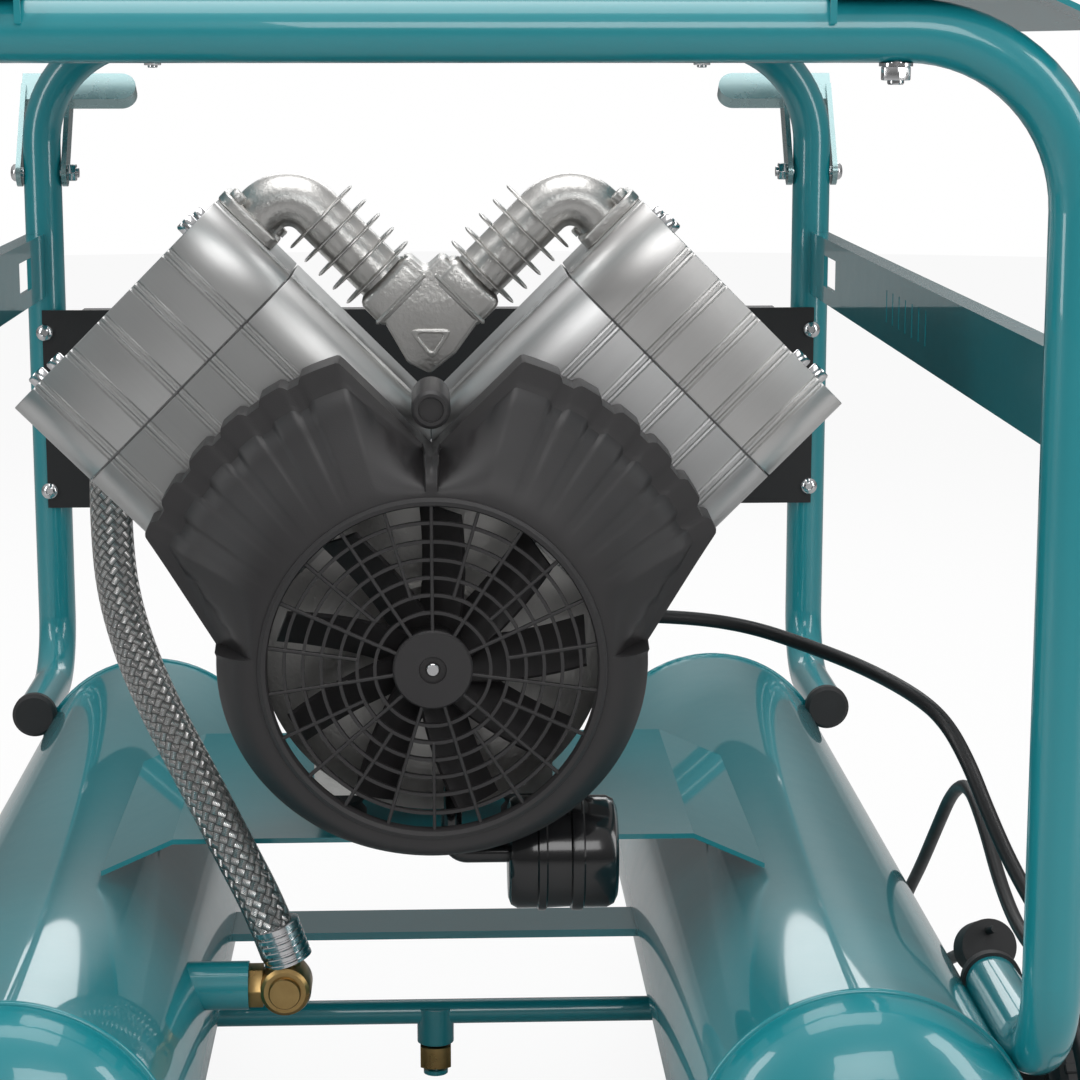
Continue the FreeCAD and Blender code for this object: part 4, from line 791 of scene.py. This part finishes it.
def shroudEdge(angle):
    # outer radius of the shell at an angle counted from straight up
    edge = shroud["drum"] + shroud["drumSide"] * math.sin(angle) ** 2
    for lean in (math.pi / 4, -math.pi / 4):
        off = (angle - lean + math.pi) % (2 * math.pi) - math.pi
        outwards = off * (1 if lean > 0 else -1) > 0
        if abs(off) < math.pi / 2:
            slant = max(abs(math.sin(off)), 1e-6)
            limit = shroud["outer"] if outwards else shroud["inner"]
            reach = min(shroud["ear"], limit / slant)
            for _ in range(4 if outwards else 0):
                limit = shroud["outer"] + shroud["flare"] * max(0,
                    shroud["flareFrom"] - reach * math.cos(off))
                reach = min(shroud["ear"], limit / slant)
            if reach > edge:
                edge = reach
                if reach >= shroud["ear"] * 0.99:
                    across = reach * math.sin(off) * (1 if lean > 0 else -1)
                    for groove in bank["grooves"]:
                        if abs(across - groove) < bank["grooveWide"] * 0.62:
                            edge = reach - shroud["notch"]
    return edge


def shroudDepth(radius, edge):
    # how far behind the mouth the shell lies: flat face, soft shoulder, long slope, stepped lip
    drum = shroud["drum"] + 0.001
    if edge <= drum + shroud["drumSide"]:
        share = max(0, (radius - 0.098) / (edge - 0.098))
        return 0.013 * share ** 2.4
    share = max(0, min(1, (radius - 0.096) / (edge - 0.096)))
    rise = 0.5 - 0.5 * math.cos(math.pi * min(1, share * 1.15))
    depth = 0.006 * share + 0.021 * rise
    if radius > edge - shroud["lip"]:
        depth += shroud["lipRise"] * min(1, (radius - edge + shroud["lip"]) / 0.002)
    return depth


def shellPiece():
    rings = [0.0, 0.02, 0.05, 0.10, 0.16, 0.23, 0.31, 0.40, 0.49, 0.58, 0.67, 0.75, 0.82, 0.855, 0.87, 0.90,
             0.95, 0.985, 1.0]
    clearSelection()
    bpy.ops.mesh.primitive_circle_add(vertices=shroud["steps"], radius=shroud["mouth"], fill_type="NOTHING",
                                      enter_editmode=True, location=(0, 0, 0))
    for ring in range(len(rings) + 2):
        bpy.ops.mesh.extrude_region_move(TRANSFORM_OT_translate={"value": (0, 0, -0.001)})
        bpy.ops.transform.resize(value=(1.02, 1.02, 1), center_override=(0, 0, 0))
    bpy.ops.object.mode_set(mode="OBJECT")
    shell = bpy.context.object
    shell.name = "shroudShell"
    edges = [shroudEdge(2 * math.pi * step / shroud["steps"]) for step in range(shroud["steps"])]
    blunt = [min(edges[step - 1], edges[step], edges[(step + 1) % len(edges)]) * 0.35 + edges[step] * 0.65
             for step in range(len(edges))]
    for vertex in shell.data.vertices:
        ring = round(-vertex.co.z / 0.001)
        angle = math.atan2(vertex.co.x, vertex.co.y)
        edge = blunt[round(angle / (2 * math.pi) * shroud["steps"]) % shroud["steps"]]
        if ring <= len(rings):
            share = rings[ring - 1] if ring else 0
            radius = shroud["mouth"] + (edge - shroud["mouth"]) * share
            depth = 0.006 if ring == 0 else shroudDepth(radius, edge)
        else:
            radius = edge + 0.0005 * (ring - len(rings))
            depth = shroudDepth(edge, edge) + (0.003 if ring == len(rings) + 1 else 0)
            if ring == len(rings) + 2:
                depth = shroud["back"] - shroud["front"]
        vertex.co = (radius * math.sin(angle), shroud["front"] + depth,
            machine["crankZ"] + radius * math.cos(angle))
    activate(shell)
    bpy.ops.object.mode_set(mode="EDIT")
    bpy.ops.mesh.select_all(action="SELECT")
    bpy.ops.mesh.normals_make_consistent(inside=False)
    bpy.ops.object.mode_set(mode="OBJECT")
    outward = sum(p.normal.y * p.area for p in shell.data.polygons)
    if outward > 0:
        shell.data.flip_normals()
    wall = shell.modifiers.new("wall", "SOLIDIFY")
    wall.thickness = shroud["wall"]
    wall.offset = -1
    activate(shell)
    bpy.ops.object.modifier_apply(modifier=wall.name)
    return shell


grille = {"rings": (0.031, 0.0405, 0.050, 0.0597, 0.0695, 0.0795), "bar": 0.0009, "deep": 0.0035,
          "spokes": 11, "longStart": 0.0205, "shortStart": 0.0405, "rim": 0.0925, "turn": 8}


def grillePieces():
    front, z = shroud["front"], machine["crankZ"]
    parts = []
    for radius in grille["rings"]:
        half = grille["bar"]
        ring = turnedPiece("ring", ringOf(radius - half, radius + half, 0.001, 0.001 + grille["deep"]), 96,
            True)
        parts.append(put(ring, 0, front, z, "y"))
    rim = turnedPiece("rim", [(0.0885, 0.006), (0.0885, 0.0005), (0.0893, -0.0012), (0.0915, -0.0018),
                              (0.0935, -0.0010), (0.0942, 0.0010), (0.0942, 0.006), (0.0885,
                                  0.006)], 160, True)
    parts.append(put(rim, 0, front, z, "y"))
    for number in range(2 * grille["spokes"]):
        start = grille["longStart"] if number % 2 == 0 else grille["shortStart"]
        spoke = blockPiece("spoke", (start, 0.0005, -0.0009), (grille["rim"] - 0.003,
            0.0005 + grille["deep"], 0.0009),
                           0.0004, 1)
        turn = Matrix.Rotation(math.radians(grille["turn"] + 180 * number / grille["spokes"]), 4, "Y")
        parts.append(put(spoke, 0, front, z, turn=turn))
    hub = turnedPiece("hub", [(0.0001, 0.006), (0.0195, 0.006), (0.0215, 0.004), (0.0215, 0.0005),
                              (0.0205, -0.0008), (0.0075, -0.0008), (0.0070, 0.0014), (0.0040, 0.0014),
                              (0.0036, 0.0004), (0.0018, 0.0003), (0.0016, 0.0012), (0.0001, 0.0012)], 72)
    parts.append(put(hub, 0, front, z, "y"))
    return parts


noseFacts = {"start": -0.3445, "z": 0.551}


def noseBoss():
    boss = turnedPiece("boss", [(0.0001, 0.060), (0.0105, 0.060), (0.0105, 0.0030), (0.0098, 0.0012),
        (0.0085, 0.0),
                                (0.0068, 0.0), (0.0064, 0.0020), (0.0001, 0.0020)], 48)
    return put(boss, 0, noseFacts["start"], noseFacts["z"], "y")


dress(joined("fanShroud", [shellPiece(), noseBoss(), *grillePieces()]), "shroudPlastic",
      covers=["fan_shroud"], angle=30)
print("shroud moulded")


# fan

fanFacts = {"tip": 0.083, "start": -0.3405, "deep": 0.030, "blades": 9, "pitch": 38}


def fanPiece():
    hub = turnedPiece("fanHub", [(0.0101, 0.0), (0.018, 0.0), (0.020, 0.002), (0.020, 0.028), (0.018, 0.030),
                                 (0.0101, 0.030), (0.0101, 0.0)], 48, True)
    parts = [put(hub, 0, fanFacts["start"], machine["crankZ"], "y")]
    for number in range(fanFacts["blades"]):
        clearSelection()
        bpy.ops.mesh.primitive_grid_add(x_subdivisions=8, y_subdivisions=6, size=1, location=(0, 0, 0))
        blade = bpy.context.object
        for vertex in blade.data.vertices:
            reach = 0.018 + (vertex.co.x + 0.5) * (fanFacts["tip"] - 0.018)
            width = 0.027 + 0.008 * (vertex.co.x + 0.5)
            pitch = math.radians(fanFacts["pitch"] + 14 * (0.5 - vertex.co.x))
            chord = vertex.co.y * width
            sweep = 0.010 * (vertex.co.x + 0.5) ** 2
            camber = 0.004 * (0.25 - vertex.co.y ** 2)
            vertex.co = (reach, max(-0.0145, min(0.0145, chord * math.cos(pitch) * 0.95)),
                chord * math.sin(pitch) + sweep + camber)
        wall = blade.modifiers.new("wall", "SOLIDIFY")
        wall.thickness = 0.0024
        wall.offset = 0
        activate(blade)
        bpy.ops.object.modifier_apply(modifier=wall.name)
        turn = Matrix.Rotation(2 * math.pi * number / fanFacts["blades"], 4, "Y")
        parts.append(put(blade, 0, fanFacts["start"] + fanFacts["deep"] / 2, machine["crankZ"], turn=turn))
    return joined("fanWheel", parts)


dress(fanPiece(), "shroudPlastic", "crank", covers=["fan"])
print("fan moulded")


# finned inlet pipes and the casting where they meet

inlet = {"face": -0.090, "pipe": -0.122, "port": 0.234, "bend": 0.021, "radius": 0.015, "end": 0.158,
         "fin": 0.0245, "finFirst": 0.164, "finStep": 0.011, "fins": 5, "flange": 0.022, "flangeThick": 0.007}


def screwPiece(x=0.0, y=0.0, z=0.0, radius=0.0045, tall=0.0045, turn=None):
    # a socket head standing on its place, with a dark hollow in the top
    head = turnedPiece("screw", [(0.0001, 0.0), (radius, 0.0), (radius, tall * 0.8), (radius * 0.86, tall),
                                 (radius * 0.52, tall), (radius * 0.48, tall * 0.45), (0.0001,
                                     tall * 0.45)], 32)
    return put(head, x, y, z, turn=turn)


def inletPiece(name):
    bendX, bendZ = inlet["pipe"] + inlet["bend"], inlet["port"] - inlet["bend"]
    path = [(inlet["face"] + 0.002, 0, inlet["port"])]
    path += arcPoints((bendX, 0, bendZ), (0, 0, inlet["bend"]), (-inlet["bend"], 0, 0), 90, 16)
    path += [(inlet["pipe"], 0, inlet["end"])]
    parts = [tubePiece(name, path, inlet["radius"], 8)]
    for number in range(inlet["fins"]):
        z = inlet["finFirst"] + number * inlet["finStep"]
        fin = turnedPiece("fin", [(0.012, z - 0.0011), (0.0235, z - 0.0008), (inlet["fin"], z - 0.0003),
                                  (inlet["fin"], z + 0.0003), (0.0235, z + 0.0008), (0.012, z + 0.0011)], 56)
        parts.append(put(fin, inlet["pipe"], 0, 0))
    half = inlet["flange"]
    outline = roundedOutline([(-half, -half), (half * 0.86, -half), (half * 0.86, half), (-half, half)],
        0.010, 8)
    collar = flatPiece("collar", [outline], inlet["flangeThick"], 0.0016, 3)
    parts.append(put(collar, inlet["face"] - inlet["flangeThick"] / 2 + 0.0002, 0, inlet["port"], "x"))
    for across in (-1, 1):
        parts.append(screwPiece(inlet["face"] - inlet["flangeThick"], across * 0.0155,
            inlet["port"] - across * 0.0145,
                                turn=Matrix.Rotation(math.radians(-90), 4, "Y")))
    return joined(name, parts)


for side, place in (("right", rightBank), ("left", mirrorX @ rightBank)):
    pipe = copied(inletPiece("plainInlet"), side + "Inlet", place)
    bpy.data.objects.remove(bpy.data.objects["plainInlet"])
    dress(pipe, "castAluminium", covers=["manifold_" + side])

junction = {"front": -0.2525, "deep": 0.042, "outline": [
    (-0.0392, 0.5973), (-0.0265, 0.5893), (-0.0129, 0.5651), (-0.0004, 0.5587), (0.0140, 0.5700), (0.0265,
        0.5873),
    (0.0319, 0.6006), (0.0072, 0.6252), (-0.0026, 0.6167), (-0.0123, 0.6252)]}


def junctionPiece():
    body = flatPiece("junction", [roundedOutline(junction["outline"], 0.004, 5)], junction["deep"] - 0.004,
        0.0024, 4)
    upright = Matrix.Rotation(math.radians(90), 4, "X")
    parts = [put(body, 0, junction["front"] + junction["deep"] / 2, 0, turn=upright)]
    face = flatPiece("face", [roundedOutline([(-0.013, 0.5840), (0.013, 0.5840), (0.001, 0.5665)], 0.003, 4),
                              roundedOutline([(-0.0085, 0.5818), (0.0085, 0.5818), (0.0008, 0.5705)], 0.002,
                                  4)],
                     0.003, 0.0006, 2)
    parts.append(put(face, 0, junction["front"] + 0.0015, 0, turn=upright))
    for place in (rightBank, mirrorX @ rightBank):
        socket = blockPiece("socket", (inlet["pipe"] - 0.0185, -0.0195, 0.1395), (inlet["pipe"] + 0.0185,
            0.0195, 0.1605), 0.005, 4)
        lip = blockPiece("lip", (inlet["pipe"] - 0.0195, -0.0205, 0.1440), (inlet["pipe"] + 0.0195, 0.0205,
            0.1462), 0.0008, 1)
        for block in (socket, lip):
            block.data.transform(place)
            if place.determinant() < 0:
                block.data.flip_normals()
            parts.append(block)
    return joined("junction", parts)


dress(junctionPiece(), "castAluminium", covers=["manifold_junction"])
print("inlet pipes cast")


# bolts, nuts and washers

boltSpots = {"stripX": 0.220, "stripY": (-0.4735, 0.4365), "panelX": 0.31007, "panelZ": (0.383, 0.512),
             "panelY": 0.419, "pivotY": 0.4365, "pivotZ": 0.639, "stripTop": 0.765, "stripNut": 0.72715,
             "pivotHead": 0.3306, "pivotNut": 0.28625, "headAcross": (-0.070, 0.048), "headRun": (-0.035,
                 0.035),
             "hubY": -0.3505}
towardFront, towardBack = Matrix.Rotation(math.radians(90), 4, "X"), Matrix.Rotation(math.radians(-90), 4,
    "X")


def domedBolt(radius=0.007, tall=0.0045):
    return turnedPiece("bolt", [(0.0001, 0.0), (radius, 0.0), (radius, 0.0006), (radius * 0.93, tall * 0.55),
                                (radius * 0.70, tall * 0.88), (radius * 0.42, tall), (radius * 0.38,
                                    tall * 0.5),
                                (0.0001, tall * 0.5)], 40)


def hexNut(radius=0.0075, tall=0.0065):
    clearSelection()
    bpy.ops.mesh.primitive_cylinder_add(vertices=6, radius=radius, depth=tall, location=(0, 0, 0))
    return softened(bpy.context.object, 0.0006, 2, 50)


boltParts = []
for across in (-1, 1):
    for y in boltSpots["stripY"]:
        x = across * boltSpots["stripX"]
        boltParts.append(put(domedBolt(), x, y, boltSpots["stripTop"]))
        washer = turnedPiece("washer", [(0.0041, 0.7304), (0.008, 0.7304), (0.008, 0.732), (0.0041, 0.732)],
            40, True)
        boltParts += [put(washer, x, y, 0), put(hexNut(), x, y, boltSpots["stripNut"])]
        shank = turnedPiece("shank", [(0.0001, 0.7219), (0.0034, 0.7219), (0.004, 0.7226), (0.004, 0.7656),
                                      (0.0001, 0.7656)], 24)
        boltParts.append(put(shank, x, y, 0))
    for z in boltSpots["panelZ"]:
        boltParts.append(put(domedBolt(), across * boltSpots["panelX"], boltSpots["panelY"], z,
            turn=towardFront))
    outward = Matrix.Rotation(math.radians(90 * across), 4, "Y")
    boltParts.append(put(domedBolt(), across * boltSpots["pivotHead"], boltSpots["pivotY"],
        boltSpots["pivotZ"], turn=outward))
    boltParts.append(put(hexNut(), across * boltSpots["pivotNut"], boltSpots["pivotY"], boltSpots["pivotZ"],
        turn=outward))
    shank = turnedPiece("shank", [(0.0001, 0.2810), (0.004, 0.2810), (0.004, 0.3310), (0.0001, 0.3310)], 24)
    boltParts.append(put(shank, 0, boltSpots["pivotY"], boltSpots["pivotZ"], turn=outward))
    for local in boltSpots["headAcross"]:
        for run in boltSpots["headRun"]:
            head = screwPiece(local, run, bank["top"], 0.0055, 0.0055)
            head.data.transform(rightBank if across > 0 else mirrorX @ rightBank)
            boltParts.append(head)
hubScrew = turnedPiece("hubScrew", [(0.0001, 0.0), (0.0034, 0.0), (0.0034, 0.0012), (0.0030, 0.0016),
    (0.0001, 0.0016)], 24)
boltParts.append(put(hubScrew, 0, boltSpots["hubY"], machine["crankZ"], turn=towardFront))
dress(joined("bolts", boltParts), "zincSteel", covers=["bolts"])
print("bolts set")


# air filter, valve and hose fittings

drum = {"x": 0.073, "y": -0.2745, "z": 0.287}
drumRings = [(0.0001, -0.031), (0.026, -0.031), (0.030, -0.0295), (0.032, -0.026), (0.032, -0.015), (0.0335,
    -0.014),
             (0.0335, -0.010), (0.032, -0.009), (0.0315, 0.004), (0.0335, 0.005), (0.0338, 0.008), (0.0335,
                 0.011),
             (0.032, 0.012), (0.032, 0.025), (0.030, 0.029), (0.026, 0.031), (0.018, 0.031), (0.017,
                 0.0295), (0.0001, 0.0295)]
filterBody = put(turnedPiece("filterBody", drumRings, 72), drum["x"], drum["y"], drum["z"], "x")
neck = tubePiece("neck", [(0.046, drum["y"], drum["z"])] + arcPoints((0.019, drum["y"], drum["z"] + 0.009),
    (0, 0, -0.009),
                 (-0.009, 0, 0), 90, 10) + [(0.010, drum["y"], 0.327)], 0.006, 6)
dress(joined("airFilter", [filterBody, neck]), "glossBlack", covers=["air_filter"])

valve = {"x": -0.086, "y": -0.2855, "z": 0.207, "middleY": -0.2685, "nutX": -0.103}
valveBody = turnedPiece("valveBody", [(0.0001, 0.0), (0.0085, 0.0), (0.0092, 0.001), (0.0092, 0.003),
    (0.0120, 0.003),
                                      (0.0140, 0.0045), (0.015, 0.008), (0.015, 0.026), (0.0140,
                                          0.030), (0.0115, 0.0315),
                                      (0.0110, 0.034), (0.0001, 0.034)], 64)
stem = turnedPiece("stem", [(0.0001, 0.207), (0.009, 0.207), (0.009, 0.226), (0.0082, 0.229), (0.0001,
    0.229)], 40)
union = put(hexNut(0.013, 0.0085), valve["nutX"], valve["middleY"], valve["z"],
            turn=Matrix.Rotation(math.radians(90), 4, "Y"))
port = turnedPiece("port", [(0.0001, -0.100), (0.0095, -0.100), (0.0095, -0.086), (0.0001, -0.086)], 40)
dress(joined("checkValve", [put(valveBody, valve["x"], valve["y"], valve["z"], "y"), put(stem, valve["x"],
    valve["middleY"], 0),
                            union, put(port, 0, valve["middleY"], valve["z"],
                                "x")]), "brass", covers=["check_valve"])


# wheels

wheel = {"x": 0.3725, "y": -0.2615, "z": 0.100, "lugs": 40}


def tyrePiece(name):
    rings = [(0.0685, -0.0195), (0.076, -0.0220), (0.088, -0.0225), (0.0955, -0.0205), (0.0985, -0.0165),
             (0.0985, -0.0060), (0.0955, -0.0055), (0.0955, -0.0030), (0.0985, -0.0025), (0.0985, 0.0025),
             (0.0955, 0.0030), (0.0955, 0.0055), (0.0985, 0.0060), (0.0985, 0.0165), (0.0955, 0.0205),
             (0.088, 0.0225), (0.076, 0.0220), (0.0685, 0.0195), (0.0685, -0.0195)]
    parts = [turnedPiece(name, rings, 120, True)]
    for number in range(wheel["lugs"]):
        for side in (-1, 1):
            lug = blockPiece("lug", (0.0965, -0.0028, side * 0.0125 - 0.0055), (0.1, 0.0028,
                side * 0.0125 + 0.0055), 0.0007, 1)
            turn = 2 * math.pi * (number + 0.25 * side) / wheel["lugs"]
            parts.append(put(lug, turn=Matrix.Rotation(turn, 4, "Z")))
    return joined(name, parts)


def rimPiece(name):
    rings = [(0.0101, -0.0205), (0.018, -0.0205), (0.020, -0.0185), (0.020, -0.008), (0.028, -0.003), (0.050,
        -0.002),
             (0.058, -0.008), (0.062, -0.017), (0.067, -0.0185), (0.068, -0.0175), (0.068, 0.0175), (0.067,
                 0.0185),
             (0.062, 0.017), (0.058, 0.006), (0.050, 0.003), (0.028, 0.002), (0.020, 0.008), (0.020, 0.0185),
             (0.018, 0.0205), (0.0101, 0.0205), (0.0101, -0.0205)]
    return turnedPiece(name, rings, 96, True)


for side, across in (("right", 1), ("left", -1)):
    tyre = put(tyrePiece(side + "Tyre"), across * wheel["x"], wheel["y"], wheel["z"], "x")
    dress(tyre, "tyreRubber", "wheel_" + side, covers=["tyre_" + side])
    rim = put(rimPiece(side + "Rim"), across * wheel["x"], wheel["y"], wheel["z"], "x")
    dress(rim, "blackPaint", "wheel_" + side, covers=["rim_" + side])
print("wheels turned")


# hose ferrules and gauge dials

def ferrulePiece():
    rings = [(0.0127, 0.0), (0.0140, 0.0006)]
    for step in range(5):
        z = 0.0022 + step * 0.0040
        rings += [(0.0140, z), (0.0133, z + 0.0006), (0.0133, z + 0.0014), (0.0140, z + 0.0020)]
    return turnedPiece("ferrule", rings + [(0.0140, 0.0232), (0.0125, 0.0240), (0.0001, 0.0240)], 56)


hoseEnd = {"low": (-0.088, -0.2685, 0.233), "lean": (-9, 0, 26), "top": (-0.191, -0.1515),
           "ferruleLow": 0.502,
           "elbow": 0.546, "head": -0.1765, "pipe": 0.009}
leaning = Vector(hoseEnd["lean"]).to_track_quat("Z", "Y").to_matrix().to_4x4()
lowFerrule = put(ferrulePiece(), *hoseEnd["low"], turn=leaning @ Matrix.Translation((0, 0, -0.012)))
topFerrule = put(ferrulePiece(), *hoseEnd["top"], hoseEnd["ferruleLow"])
elbow = tubePiece("elbow", [(*hoseEnd["top"], 0.524)] + arcPoints((hoseEnd["top"][0],
    hoseEnd["top"][1] - 0.010, 0.536),
                  (0, 0.010, 0), (0, 0, 0.010), 90, 10) + [(hoseEnd["top"][0], hoseEnd["head"],
                      hoseEnd["elbow"])],
                  hoseEnd["pipe"], 6)
dress(joined("hoseFittings", [lowFerrule, topFerrule, elbow]), "zincSteel",
      covers=["hose_fittings"])

dial = {"x": (-0.040, 0.130), "y": 0.4406, "z": 0.475, "radius": 0.0185, "ticks": 13, "sweep": 270}
finishes["dialWhite"] = glossPlastic("dialWhite", (0.78, 0.78, 0.76), 0.35).material
faces, ticks = [], []
for x in dial["x"]:
    faces.append(put(turnedPiece("dialFace", [(0.0030, 0), (dial["radius"], 0), (dial["radius"], 0.0004),
                                              (0.0030, 0.0004), (0.0030,
                                                  0)], 64, True), x, dial["y"], dial["z"], "y"))
    for number in range(dial["ticks"]):
        length = 0.0035 if number % 3 == 0 else 0.002
        tick = blockPiece("tick", (-0.0003, 0.0003, 0.0172 - length), (0.0003, 0.0007, 0.0172), 0.0001, 1)
        turn = math.radians(dial["sweep"] * (number / (dial["ticks"] - 1) - 0.5))
        ticks.append(put(tick, x, dial["y"], dial["z"], turn=Matrix.Rotation(turn, 4, "Y")))
dress(joined("dialFaces", faces), "dialWhite")
dress(joined("dialTicks", ticks), "knobBlack")
print("fittings and dials set")
